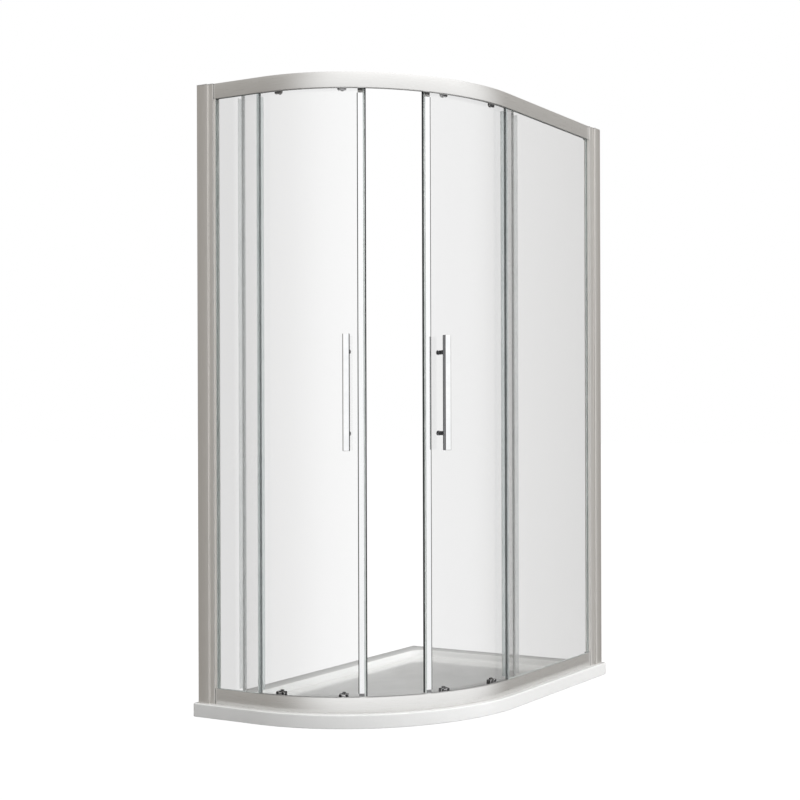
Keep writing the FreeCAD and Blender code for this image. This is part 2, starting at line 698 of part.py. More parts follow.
def bump_stops():
    """Rubber block in each end of both tracks, just past the last place of the trailing wheel."""
    overrun = math.radians(TRACK_OVERRUN)
    wheel_path = RAIL_RADIUS - (WHEEL_FACE + WHEEL_BACK) / 2
    past_bend = (wheel_path + WHEEL_WIDTH / 2) * math.sin(overrun) + WHEEL_RADIUS * math.cos(overrun)
    t0, t1 = TRACK_WALL_FACE, RAIL_DEPTH - TRACK_LIP_WALL
    h0, h1 = TRACK_HEIGHT - STOP_HEIGHT, TRACK_HEIGHT
    section = [(t0, h0), (t1, h0), (t1, h1), (t0, h1)]
    stops = []
    for leg in LEGS.values():
        s = leg.arc_start - past_bend - STOP_GAP
        for placed in (upright, turned_over):
            stops.append(leg.bar(placed(section), s - STOP_LENGTH, s))
    return Part.makeCompound(stops)


# ---- doors ----
def glass_hole(radius, z, w=0.0):
    return radial_rod(radius + GLASS_HOLE_MARGIN, DOOR_FACE - SEAT_GAP, DOOR_BACK + SEAT_GAP, z, w)


def door_glass(door):
    lead = arc_degrees(MAGNET_REACH + LEAD_PROFILE_WEB + SEAT_GAP)
    trail = DOOR_SPAN - arc_degrees(TRAIL_SEAL_WEB)
    pane = door.sector((DOOR_FACE, DOOR_BACK), lead, trail, (DOOR_BASE_Z, DOOR_TOP_Z))
    holes = [door.at(HANDLE_ANGLE, glass_hole(FIXING_RADIUS, z)) for z in standoff_heights()]
    for back in door.rollers.values():
        holes.append(door.at(back, glass_hole(FIXING_RADIUS, TOP_Z - CLAMP_HEIGHT)))
        for w in lobe_places():
            holes.append(door.at(back, glass_hole(CARRIER_SCREW_RADIUS, BASE_Z + LOBE_HEIGHT, w)))
    return pane.cut(holes)


def clip_channel(door, wall, back_from, back_to, closed_to, z_range, step=0.0):
    """Channel over a door edge: a curved slab from back_from to back_to, hollow from closed_to on."""
    t0, t1 = DOOR_FACE - SEAT_GAP, DOOR_BACK + SEAT_GAP
    block = door.sector((t0 - wall + step, t1 + wall - step), back_from, back_to, z_range)
    return block.cut(door.sector((t0, t1), closed_to, back_to, z_range))


def lead_channel(door, z_range, step=0.0):
    start = arc_degrees(MAGNET_REACH)
    web = arc_degrees(MAGNET_REACH + LEAD_PROFILE_WEB)
    end = arc_degrees(MAGNET_REACH + LEAD_PROFILE_WIDTH)
    return clip_channel(door, LEAD_PROFILE_WALL, start, end, web, z_range, step)


def leading_profile(door):
    return lead_channel(door, (BASE_Z + LEAD_PROFILE_BASE, TOP_Z - LEAD_PROFILE_CROWN))


def leading_caps(door):
    """End caps of the leading profile. The upper one stands on a neck."""
    z0 = BASE_Z + LEAD_PROFILE_BASE
    z1 = TOP_Z - LEAD_PROFILE_CROWN
    neck_top = z1 + LEAD_CAP_NECK
    lower = lead_channel(door, (z0 - LEAD_CAP_HEIGHT, z0))
    neck = lead_channel(door, (z1, neck_top), LEAD_CAP_NECK_STEP)
    head = lead_channel(door, (neck_top, neck_top + LEAD_CAP_HEIGHT))
    return Part.makeCompound([lower, joined([neck, head])])


def magnet_seal(door):
    """Magnet strip in front of the leading profile, on a narrower neck."""
    middle = (DOOR_FACE + DOOR_BACK) / 2
    z_range = (BASE_Z + LEAD_PROFILE_BASE - LEAD_CAP_HEIGHT,
               TOP_Z - LEAD_PROFILE_CROWN + LEAD_CAP_NECK + LEAD_CAP_HEIGHT)
    front = arc_degrees(MEETING_GAP)
    step = arc_degrees(MAGNET_REACH - MAGNET_NECK)
    back = arc_degrees(MAGNET_REACH)
    half, neck = MAGNET_THICKNESS / 2, MAGNET_NECK_THICKNESS / 2
    strip = door.sector((middle - half, middle + half), front, step, z_range)
    stem = door.sector((middle - neck, middle + neck), step, back, z_range)
    return joined([strip, stem])


def trailing_seal(door):
    """Clip over the trailing edge in two lengths, with a fin towards the fixed glass between the rails."""
    z0, z1 = BASE_Z + TRAIL_SEAL_BASE, TOP_Z - TRAIL_SEAL_CROWN
    fin_base, fin_crown = BETWEEN_RAILS[0] + TRAIL_SEAL_SHORT, BETWEEN_RAILS[1] - TRAIL_SEAL_SHORT
    joint = fin_crown - TRAIL_SEAL_JOINT
    end = joint - TRAIL_SEAL_JOINT_GAP
    web = DOOR_SPAN - arc_degrees(TRAIL_SEAL_WEB)
    start = web - arc_degrees(TRAIL_SEAL_CLIP)
    outer = DOOR_FACE - SEAT_GAP - TRAIL_SEAL_WALL
    inner = DOOR_BACK + SEAT_GAP + TRAIL_SEAL_WALL
    lengths = []
    for z_range, fin_range in (((z0, end), (fin_base, end)), ((joint, z1), (joint, fin_crown))):
        slab = door.sector((outer, inner), start, DOOR_SPAN, z_range)
        slab = slab.cut(door.sector((DOOR_FACE - SEAT_GAP, DOOR_BACK + SEAT_GAP), start, web, z_range))
        fin = door.sector((TRAIL_SEAL_FIN_END, outer), web, DOOR_SPAN, fin_range)
        lengths.append(joined([slab, fin]))
    return Part.makeCompound(lengths)


def standoff_heights():
    middle = BASE_Z + HANDLE_HEIGHT
    return [middle - STANDOFF_SPACING / 2, middle + STANDOFF_SPACING / 2]


def handle(door):
    """Square bar with rounded edges on two round standoffs."""
    middle = BASE_Z + HANDLE_HEIGHT
    bar_back = DOOR_FACE - HANDLE_CLEAR
    half = HANDLE_SIZE / 2
    bar = radial_box((bar_back - HANDLE_SIZE, bar_back), (-half, half),
                     (middle - HANDLE_LENGTH / 2, middle + HANDLE_LENGTH / 2))
    upright_edges = [e for e in bar.Edges if e.BoundBox.ZLength > HANDLE_LENGTH / 2]
    bar = bar.makeFillet(min(HANDLE_ROUND, half * 0.9), upright_edges)
    standoffs = [radial_rod(STANDOFF_RADIUS, bar_back - HANDLE_ROUND, DOOR_FACE - SEAT_GAP, z)
                 for z in standoff_heights()]
    return door.at(HANDLE_ANGLE, joined([bar] + standoffs))


def mushroom(disc_radius, disc, z):
    """Fixing from inside the door: a disc on the glass and a shank through its hole."""
    face = DOOR_BACK + SEAT_GAP
    end = DOOR_FACE - SEAT_GAP + FIXING_END_GAP
    return joined([radial_rod(disc_radius, face, face + disc, z), radial_rod(FIXING_RADIUS, end, face, z)])


def handle_fixings(door):
    return Part.makeCompound([door.at(HANDLE_ANGLE, mushroom(FIXING_DISC_RADIUS, FIXING_DISC, z))
                              for z in standoff_heights()])


def axle(z, boss_radius, boss_from):
    """Boss beside the wheel, the axle through it and the head in its pocket."""
    return [
        radial_rod(boss_radius, BOSS_END, boss_from, z),
        radial_rod(AXLE_RADIUS, HEAD_BACK, BOSS_END, z),
        radial_rod(AXLE_HEAD_RADIUS, HEAD_BACK - AXLE_HEAD, HEAD_BACK, z),
    ]


def curved_plate(outline_solid, t_range, width, z_range):
    """Part of a radial solid that lies in a thin curved layer."""
    half = arc_degrees(width)
    return outline_solid.common(sector(t_range, -half, half, z_range))


def hanger():
    """Curved plate on the door's outer face, with the axle of a top wheel."""
    z0, z1 = TOP_Z - HANGER_TO, TOP_Z - HANGER_FROM
    half = HANGER_WIDTH / 2
    block = radial_box((HANGER_FACE - HANGER_PLATE, DOOR_BACK), (-half, half), (z0, z1))
    across = [e for e in block.Edges if e.BoundBox.XLength > HANGER_PLATE]
    block = block.makeFillet(min(HANGER_ROUND, half * 0.9), across)
    plate = curved_plate(block, (HANGER_FACE, DOOR_FACE - SEAT_GAP), HANGER_WIDTH, (z0, z1))
    boss_root = HANGER_FACE + HANGER_PLATE / 2
    return joined([plate] + axle(TOP_WHEEL_Z, AXLE_BOSS_RADIUS, boss_root))


def top_hangers(door):
    return Part.makeCompound([door.at(back, hanger()) for back in door.rollers.values()])


def hanger_clamps(door):
    clamp = mushroom(CLAMP_DISC_RADIUS, CLAMP_DISC, TOP_Z - CLAMP_HEIGHT)
    return Part.makeCompound([door.at(back, clamp) for back in door.rollers.values()])


def lobe_places():
    return (-LOBE_SPACING / 2, LOBE_SPACING / 2)


def carrier_plate():
    """Outer clamp plate of a bottom carrier: two round lobes on a bridge, each with a sunk screw."""
    z = BASE_Z + LOBE_HEIGHT
    z0, z1 = BASE_Z + BRIDGE_FROM, z + LOBE_RADIUS
    t_range = (HANGER_FACE - HANGER_PLATE, DOOR_BACK)
    half = LOBE_SPACING / 2
    lobes = [radial_rod(LOBE_RADIUS, *t_range, z, w) for w in lobe_places()]
    bridge = radial_box(t_range, (-half, half), (z0, BASE_Z + BRIDGE_TO))
    feet = [radial_box(t_range, (w - LOBE_RADIUS, w + LOBE_RADIUS), (z0, z)) for w in lobe_places()]
    plate = curved_plate(joined(lobes + [bridge] + feet), (HANGER_FACE, DOOR_FACE - SEAT_GAP),
                         CARRIER_WIDTH, (z0, z1))
    sunk = HANGER_FACE + CARRIER_SCREW_HEAD + SCREW_CLEARANCE
    holes = [radial_rod(CARRIER_SCREW_RADIUS + SCREW_CLEARANCE, HANGER_FACE - HANGER_PLATE, DOOR_FACE, z, w)
             for w in lobe_places()]
    holes += [radial_rod(CARRIER_SCREW_HEAD_RADIUS + SCREW_CLEARANCE, HANGER_FACE - HANGER_PLATE, sunk, z, w)
              for w in lobe_places()]
    return plate.cut(holes)


def carrier_plates(door):
    return Part.makeCompound([door.at(back, carrier_plate()) for back in door.rollers.values()])


def carrier_screws(door):
    z = BASE_Z + LOBE_HEIGHT
    seat = HANGER_FACE + CARRIER_SCREW_HEAD
    tip = DOOR_BACK + SEAT_GAP + CARRIER_SCREW_REACH
    screws = []
    for back in door.rollers.values():
        for w in lobe_places():
            head = radial_rod(CARRIER_SCREW_HEAD_RADIUS, HANGER_FACE + SCREW_CLEARANCE, seat, z, w)
            shank = radial_rod(CARRIER_SCREW_RADIUS, seat, tip, z, w)
            screws.append(door.at(back, joined([head, shank])))
    return Part.makeCompound(screws)


def slide_channel():
    """Depth range of the guide in a carrier's housing."""
    start = DOOR_BACK + SEAT_GAP + SLIDE_WALL
    return start, start + SLIDE_SIZE


def carrier_housing():
    """Housing inside the door glass: bevelled block with a guide for the release slide."""
    t0 = DOOR_BACK + SEAT_GAP
    t1 = t0 + CARRIER_DEPTH
    z0 = BASE_Z + CARRIER_BASE
    z1 = z0 + CARRIER_HEIGHT
    b = CARRIER_BEVEL
    section = [(t0, z0), (t1 - b, z0), (t1, z0 + b), (t1, z1 - b), (t1 - b, z1), (t0, z1)]
    half = arc_degrees(CARRIER_WIDTH / 2)
    block = swept_section(section, -half, half)
    g0, g1 = slide_channel()
    half_guide = SLIDE_WIDTH / 2
    half_neck = half_guide - SLIDE_NECK_SHOULDER
    foot_top = BOTTOM_WHEEL_Z + FOOT_HEIGHT / 2 + FOOT_FIT
    half_foot = FOOT_WIDTH / 2 + FOOT_FIT
    guide = radial_box((g0, g1), (-half_guide, half_guide), (z0, z1 - SLIDE_ROOF))
    neck = radial_box((g0, g1), (-half_neck, half_neck), (z1 - SLIDE_ROOF, z1))
    window = radial_box((t0 - SLIDE_WALL, g0), (-half_foot, half_foot), (z0, foot_top))
    holes = [radial_rod(CARRIER_SCREW_RADIUS + SCREW_CLEARANCE, t0 - SEAT_GAP,
                        t0 + CARRIER_SCREW_REACH + SCREW_CLEARANCE, BASE_Z + LOBE_HEIGHT, w)
             for w in lobe_places()]
    return block.cut([guide, neck, window] + holes)


def carrier_housings(door):
    return Part.makeCompound([door.at(back, carrier_housing()) for back in door.rollers.values()])


def release_slide(door, back):
    """Slide in a carrier's guide: thumb button on top, foot and axle of a bottom wheel below."""
    g0, g1 = slide_channel()
    t_range = (g0 + SLIDE_FIT, g1 - SLIDE_FIT)
    roof = BASE_Z + CARRIER_BASE + CARRIER_HEIGHT - SLIDE_ROOF
    foot_bottom = BOTTOM_WHEEL_Z - FOOT_HEIGHT / 2
    foot_top = foot_bottom + FOOT_HEIGHT
    half = SLIDE_WIDTH / 2 - SLIDE_FIT
    half_neck = half - SLIDE_NECK_SHOULDER
    block = radial_box(t_range, (-half, half), (foot_bottom, roof - SLIDE_FIT))
    button = radial_box(t_range, (-half_neck, half_neck), (roof - SLIDE_FIT, roof + SLIDE_ROOF + BUTTON_RISE))
    top_edges = [e for e in button.Edges if e.BoundBox.ZMin > roof + SLIDE_ROOF]
    button = button.makeFillet(min(BUTTON_ROUND, half_neck * 0.45, SLIDE_SIZE * 0.3), top_edges)
    foot = radial_box((DOOR_FACE, t_range[1]), (-FOOT_WIDTH / 2, FOOT_WIDTH / 2), (foot_bottom, foot_top))
    return door.at(back, joined([block, button, foot] + axle(BOTTOM_WHEEL_Z, FOOT_RADIUS, DOOR_FACE)))


def wheel(door, back, z):
    """Wheel with a bevelled tread, a running bore and a pocket for the axle's head."""
    centre = radial_point(0, 0, z)
    bore = AXLE_RADIUS + AXLE_CLEARANCE
    pocket = WHEEL_FACE + WHEEL_POCKET_DEPTH
    b = WHEEL_BEVEL
    outline = [
        (WHEEL_FACE, WHEEL_POCKET_RADIUS), (WHEEL_FACE, WHEEL_RADIUS - b), (WHEEL_FACE + b, WHEEL_RADIUS),
        (WHEEL_BACK - b, WHEEL_RADIUS), (WHEEL_BACK, WHEEL_RADIUS - b), (WHEEL_BACK, bore),
        (pocket, bore), (pocket, WHEEL_POCKET_RADIUS),
    ]
    face = face_of([radial_point(t, 0, z + rho) for t, rho in outline])
    return door.at(back, face.revolve(centre, FreeCAD.Vector(1, 0, 0), 360))


# ---- every piece by name ----
def all_pieces():
    pieces = {
        "shower_tray": shower_tray(),
        "bottom_rail": rail(upright),
        "top_rail": rail(turned_over),
        "rail_corner_blocks": corner_blocks(),
        "rail_screws": rail_screws(),
        "adjusting_screws": adjusting_screws(),
        "adjusting_screw_caps": screw_caps(),
        "frame_top_caps": top_caps(),
        "bottom_infill_strip": infill_strip(upright),
        "top_infill_strip": infill_strip(turned_over),
        "track_bump_stops": bump_stops(),
    }
    for side, leg in LEGS.items():
        pieces["wall_profile_" + side] = wall_profile(leg)
        pieces["side_post_" + side] = side_post(leg)
        pieces["fixed_glass_" + side] = fixed_glass(leg)
        pieces["glazing_gaskets_" + side] = glazing_gaskets(leg)
        pieces["fixed_edge_seal_" + side] = edge_seal(leg)
    for side, door in DOORS.items():
        pieces["door_glass_" + side] = door_glass(door)
        pieces["leading_profile_" + side] = leading_profile(door)
        pieces["leading_caps_" + side] = leading_caps(door)
        pieces["magnet_seal_" + side] = magnet_seal(door)
        pieces["trailing_seal_" + side] = trailing_seal(door)
        pieces["door_handle_" + side] = handle(door)
        pieces["handle_fixings_" + side] = handle_fixings(door)
        pieces["top_hangers_" + side] = top_hangers(door)
        pieces["hanger_clamps_" + side] = hanger_clamps(door)
        pieces["carrier_plates_" + side] = carrier_plates(door)
        pieces["carrier_screws_" + side] = carrier_screws(door)
        pieces["carrier_housings_" + side] = carrier_housings(door)
        for place, back in door.rollers.items():
            end = side + "_" + place
            pieces["top_wheel_" + end] = wheel(door, back, TOP_WHEEL_Z)
            pieces["bottom_wheel_" + end] = wheel(door, back, BOTTOM_WHEEL_Z)
            pieces["release_slide_" + end] = release_slide(door, back)
    return pieces


os.makedirs("parts", exist_ok=True)
for name, shape in all_pieces().items():
    shape.exportStep("parts/" + name + ".step")
    print(name, "solids", len(shape.Solids), "valid", shape.isValid(), "volume", round(shape.Volume))
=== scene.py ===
"""Offset quadrant shower enclosure: smooth surfaces, finishes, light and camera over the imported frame.

Sizes are millimetres in the row frame and become metres when a mesh is made. Three local measures
are used, as in the solids: s along a straight leg from its wall, t from the rails' outer face
inwards, and b back from a door's leading edge along its outer face.
"""

import logging
import math
from dataclasses import dataclass
from enum import Enum

import bmesh
import bpy
import numpy as np
from mathutils import Matrix, Vector


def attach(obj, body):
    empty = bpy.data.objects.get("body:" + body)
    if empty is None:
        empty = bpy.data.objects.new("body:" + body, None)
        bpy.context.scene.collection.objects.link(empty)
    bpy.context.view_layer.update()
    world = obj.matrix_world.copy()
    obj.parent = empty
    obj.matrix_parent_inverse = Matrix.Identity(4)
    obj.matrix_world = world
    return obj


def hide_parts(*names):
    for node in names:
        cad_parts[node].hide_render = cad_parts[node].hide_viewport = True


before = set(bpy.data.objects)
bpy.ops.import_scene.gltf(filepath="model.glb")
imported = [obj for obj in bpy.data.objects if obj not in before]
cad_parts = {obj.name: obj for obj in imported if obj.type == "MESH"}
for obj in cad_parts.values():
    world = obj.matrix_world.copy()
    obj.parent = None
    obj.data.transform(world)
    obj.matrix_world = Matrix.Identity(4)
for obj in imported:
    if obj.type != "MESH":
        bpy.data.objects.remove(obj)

log = logging.getLogger("shower_enclosure")
Array = np.ndarray
Socket = bpy.types.NodeSocket
Colour = tuple[float, float, float]
Pair = tuple[float, float]
MM = 0.001
WELD = 1e-7  # metres within which points are joined
GLASS_SHARP, PLAIN_SHARP, TRAY_SHARP = 20.0, 34.0, 40.0  # degrees above which an edge stays sharp


class Side(Enum):
    """The two straight legs of the frame, and the door next to each."""

    LEFT = "left"
    RIGHT = "right"


class Part(Enum):
    """Which half of the frame a horizontal piece belongs to."""

    LOWER = "lower"
    UPPER = "upper"


# -------------------------------- shared sizes and paths


@dataclass(frozen=True)
class Layout:
    """Sizes that several sub-assemblies share."""

    tray_width: float = 800.0
    tray_length: float = 1200.0
    tray_height: float = 40.0
    corner_radius: float = 550.0
    rail_inset: float = 22.0
    frame_height: float = 1850.0
    rail_height: float = 45.0
    rail_gap: float = 0.3
    fixed_face: float = 6.0
    door_face: float = 28.0
    glass: float = 6.0
    arris: float = 0.6
    bend_step: float = 0.75

    @property
    def centre(self) -> Array:
        """Centre of the bend in plan."""
        return np.array([self.tray_width / 2 - self.corner_radius, self.corner_radius - self.tray_length / 2])

    @property
    def rail_radius(self) -> float:
        """Radius of the rails' outer face."""
        return self.corner_radius - self.rail_inset

    @property
    def base_z(self) -> float:
        """Underside of the frame."""
        return self.tray_height

    @property
    def top_z(self) -> float:
        """Top of the frame."""
        return self.tray_height + self.frame_height

    @property
    def door_radius(self) -> float:
        """Radius of the doors' outer face."""
        return self.rail_radius - self.door_face


LAYOUT = Layout()


def spokes(angle: Array | float) -> Array:
    """Unit vectors in plan, (cos a, sin a), along a new last axis."""
    return np.stack([np.cos(angle), np.sin(angle)], axis=-1)


def raised(xy: Array, z: Array) -> Array:
    """Plan points (k, n, 2) with their heights added, where z is (k, 1) or (1, n)."""
    return np.concatenate([xy, np.broadcast_to(z[..., None], xy.shape[:2] + (1,))], axis=2)


def drawn_in(outline: Array, inset: Array) -> Array:
    """Copies of an outline drawn in about its middle M: M + (P - M) (1 - inset / half its size).

    Args:
        outline: Outline points, (n, 2).
        inset: How far each copy is drawn in, (k,).

    Returns:
        The copies, (k, n, 2).
    """
    middle = (outline.min(0) + outline.max(0)) / 2
    half = (outline.max(0) - outline.min(0)) / 2
    return middle + (outline - middle) * (1 - inset[:, None, None] / half)


@dataclass(frozen=True)
class Stations:
    """Places along a path in plan: points on the rails' outer face line and the inward way there."""

    base: Array
    inward: Array

    def then(self, other: "Stations") -> "Stations":
        """This path followed by another that starts where it ends."""
        return Stations(np.vstack([self.base, other.base[1:]]), np.vstack([self.inward, other.inward[1:]]))


def round_bend(angle: Array) -> Stations:
    """Places at bearings in radians: base = centre + R (cos a, sin a), inward = -(cos a, sin a)."""
    return Stations(LAYOUT.centre + LAYOUT.rail_radius * spokes(angle), -spokes(angle))


def bend(start: float, end: float) -> Stations:
    """Evenly spaced places round the bend between two bearings in degrees, at most a step apart."""
    count = math.ceil(abs(end - start) / LAYOUT.bend_step) + 1
    return round_bend(np.radians(np.linspace(start, end, count)))


def carried(section: Array, stations: Stations) -> Array:
    """A (t, z) section carried along a path: P_ij = base_i + inward_i * t_j, at height z_j."""
    xy = stations.base[:, None] + stations.inward[:, None] * section[None, :, :1]
    return raised(xy, section[None, :, 1])


@dataclass(frozen=True)
class Soft:
    """How a prism is softened: length off each edge at a corner, pieces of that corner, bevel of the ends."""

    ease: float
    steps: int
    bevel: float


class Upright:
    """What carries upright prisms at one side: a leg of the frame, or a door."""

    side: Side
    body: str

    def prism(self, outline: Array, z_range: Pair, soft: Soft) -> Array:
        """Rings of an upright prism over an outline in the carrier's plan measures, softened all round."""
        heights, inset = ends(*z_range, soft.bevel)
        return raised(self.plan(drawn_in(eased(outline, soft.ease, soft.steps), inset)), heights[:, None])

    def place(self, surface: "Surface", name: str, finish: "Look", slot: str, node: str = "",
              sharp: float = PLAIN_SHARP) -> None:
        """Makes a piece that rides on the body; its name and its node's name end in the side."""
        nodes = [node + self.side.value] if node else []
        place(surface, name + self.side.value, finish, self.body, slot, *nodes, sharp=sharp)

    def trim(self, name: str, finish: "Look", slot: str, node: str, *prisms: tuple[Array, Pair, Soft]) -> None:
        """Makes one piece of upright prisms.

        Args:
            name: Start of its name.
            finish: Its finish.
            slot: Material slot of the record.
            node: Start of its CAD node's name, or nothing.
            *prisms: Outline, bottom and top, and softening of each.
        """
        surface = Surface()
        for each in prisms:
            surface.tube(self.prism(*each))
        self.place(surface, name, finish, slot, node)


@dataclass(frozen=True)
class Leg(Upright):
    """A straight leg of the frame, measured from its wall."""

    side: Side
    corner: Pair
    along: Pair
    inward: Pair
    pull_out: float
    arc_start: float
    glass_end: float
    post_width: float = 47.0
    flange: float = 1.5
    body: str = "frame"

    @property
    def post_end(self) -> float:
        """Where the side post ends."""
        return self.pull_out + self.post_width

    @property
    def rail_start(self) -> float:
        """Where the rails start, past the corner block's flange."""
        return self.post_end + self.flange

    def plan(self, flat: Array) -> Array:
        """Places of (s, t) points in plan: corner + along * s + inward * t."""
        return np.array(self.corner) + flat[..., :1] * np.array(self.along) + flat[..., 1:] * np.array(self.inward)

    def stations(self, start: float, end: float) -> Stations:
        """Two places on the leg's outer face line, at two distances from the wall."""
        return Stations(self.plan(np.array([[start, 0.0], [end, 0.0]])), np.array([self.inward] * 2))


LEGS = {
    Side.LEFT: Leg(Side.LEFT, (-388.0, -578.0), (1.0, 0.0), (0.0, 1.0), 10.0, 238.0, 224.0),
    Side.RIGHT: Leg(Side.RIGHT, (378.0, 588.0), (0.0, -1.0), (-1.0, 0.0), 23.0, 638.0, 638.0),
}


@dataclass(frozen=True)
class Door(Upright):
    """A sliding door, measured back from its leading edge."""

    side: Side
    lead: float
    turn: int
    degrees: float = 47.2

    @property
    def body(self) -> str:
        """Name of the CAD body that carries the door."""
        return "door_" + self.side.value

    @property
    def span(self) -> float:
        """Length round the door's outer face."""
        return math.radians(self.degrees) * LAYOUT.door_radius

    def bearing(self, back: Array | float) -> Array | float:
        """Bearing in radians of places a number of radians back."""
        return math.radians(self.lead) + self.turn * back

    def plan(self, flat: Array) -> Array:
        """Places of (b, t) points in plan, with b bent round the door.

        P = centre + (R - t)(cos a, sin a), where a = lead + turn * b / door radius.
        """
        angle = self.bearing(flat[..., 0] / LAYOUT.door_radius)
        return LAYOUT.centre + (LAYOUT.rail_radius - flat[..., 1:]) * spokes(angle)

    def radial_frame(self, back_degrees: float) -> tuple[Array, Array, Array]:
        """Frame of a piece that points to the bend's centre.

        Args:
            back_degrees: Place on the door, in degrees back from its leading edge.

        Returns:
            Point on the rails' outer face line, inward way and sideways way.
        """
        out = np.append(spokes(self.bearing(math.radians(back_degrees))), 0.0)
        origin = np.append(LAYOUT.centre, 0.0) + LAYOUT.rail_radius * out
        return origin, -out, np.array([-out[1], out[0], 0.0])


DOORS = {Side.LEFT: Door(Side.LEFT, -55.0, -1), Side.RIGHT: Door(Side.RIGHT, -35.8, 1)}


# -------------------------------- sections and surfaces


def box(a0: float, t0: float, a1: float, t1: float) -> Array:
    """Corners of a rectangle between two of its corners."""
    return np.array([(a0, t0), (a1, t0), (a1, t1), (a0, t1)], float)


def channel(web: Pair, tip: float, t_range: Pair, wall: float) -> Array:
    """Corners of a U section.

    Args:
        web: Outside and inside of the web.
        tip: Where the two walls end.
        t_range: Outsides of the two walls.
        wall: Thickness of the walls.

    Returns:
        The eight corners.
    """
    (a, b), (t0, t1) = web, t_range
    low, high = t0 + wall, t1 - wall
    return np.array([(a, t0), (tip, t0), (tip, low), (b, low), (b, high), (tip, high), (tip, t1), (a, t1)], float)


def eased(outline: Array, radius: float, steps: int) -> Array:
    """Outline with eased corners: each corner P becomes (1-u)^2 A + 2u(1-u) P + u^2 C.

    A and C lie on the two edges at most `radius` from P, and never past 0.45 of an edge.

    Args:
        outline: Corner points, (n, 2).
        radius: Length taken off each edge.
        steps: Pieces in each eased corner.

    Returns:
        Points of the eased outline.
    """
    before = np.roll(outline, 1, axis=0) - outline
    after = np.roll(outline, -1, axis=0) - outline
    back = np.linalg.norm(before, axis=1, keepdims=True)
    ahead = np.linalg.norm(after, axis=1, keepdims=True)
    cut = np.minimum(np.minimum(radius, 0.45 * back), 0.45 * ahead)
    a = (outline + before / back * cut)[:, None]
    c = (outline + after / ahead * cut)[:, None]
    u = np.linspace(0, 1, steps + 1)[None, :, None]
    return ((1 - u) ** 2 * a + 2 * u * (1 - u) * outline[:, None] + u**2 * c).reshape(-1, 2)


def ends(low: float, high: float, bevel: float) -> tuple[Array, Array]:
    """Ring heights and insets of a bar between two heights with softened ends.

    The inset at a distance d from an end is bevel * (1 - d / bevel)^2, and nothing past the bevel.

    Args:
        low: Height of the lower end.
        high: Height of the upper end.
        bevel: Reach of the softening.

    Returns:
        Height and inset of each ring, from the bottom up.
    """
    near = np.array([0.0, 0.3, 1.0]) * bevel
    inset = bevel * (1 - near / bevel) ** 2
    return np.concatenate([low + near, high - near[::-1]]), np.concatenate([inset, inset[::-1]])


def turned(profile: Array, origin: Array, axis: Array, side: Array, segments: int) -> Array:
    """A profile turned about an axis: P_jk = origin + axis * a_j + r_j (side cos f_k + up sin f_k).

    Args:
        profile: Points as (distance along the axis, radius), (n, 2).
        origin: Point on the axis.
        axis: Unit vector along the axis.
        side: Unit vector square to the axis.
        segments: Steps in a full turn.

    Returns:
        Closed rings of the surface, (segments, n, 3).
    """
    turn = np.linspace(0, 2 * np.pi, segments, endpoint=False)[:, None, None]
    spoke = side * np.cos(turn) + np.cross(axis, side) * np.sin(turn)
    return origin + axis * profile[None, :, :1] + spoke * profile[None, :, 1:]


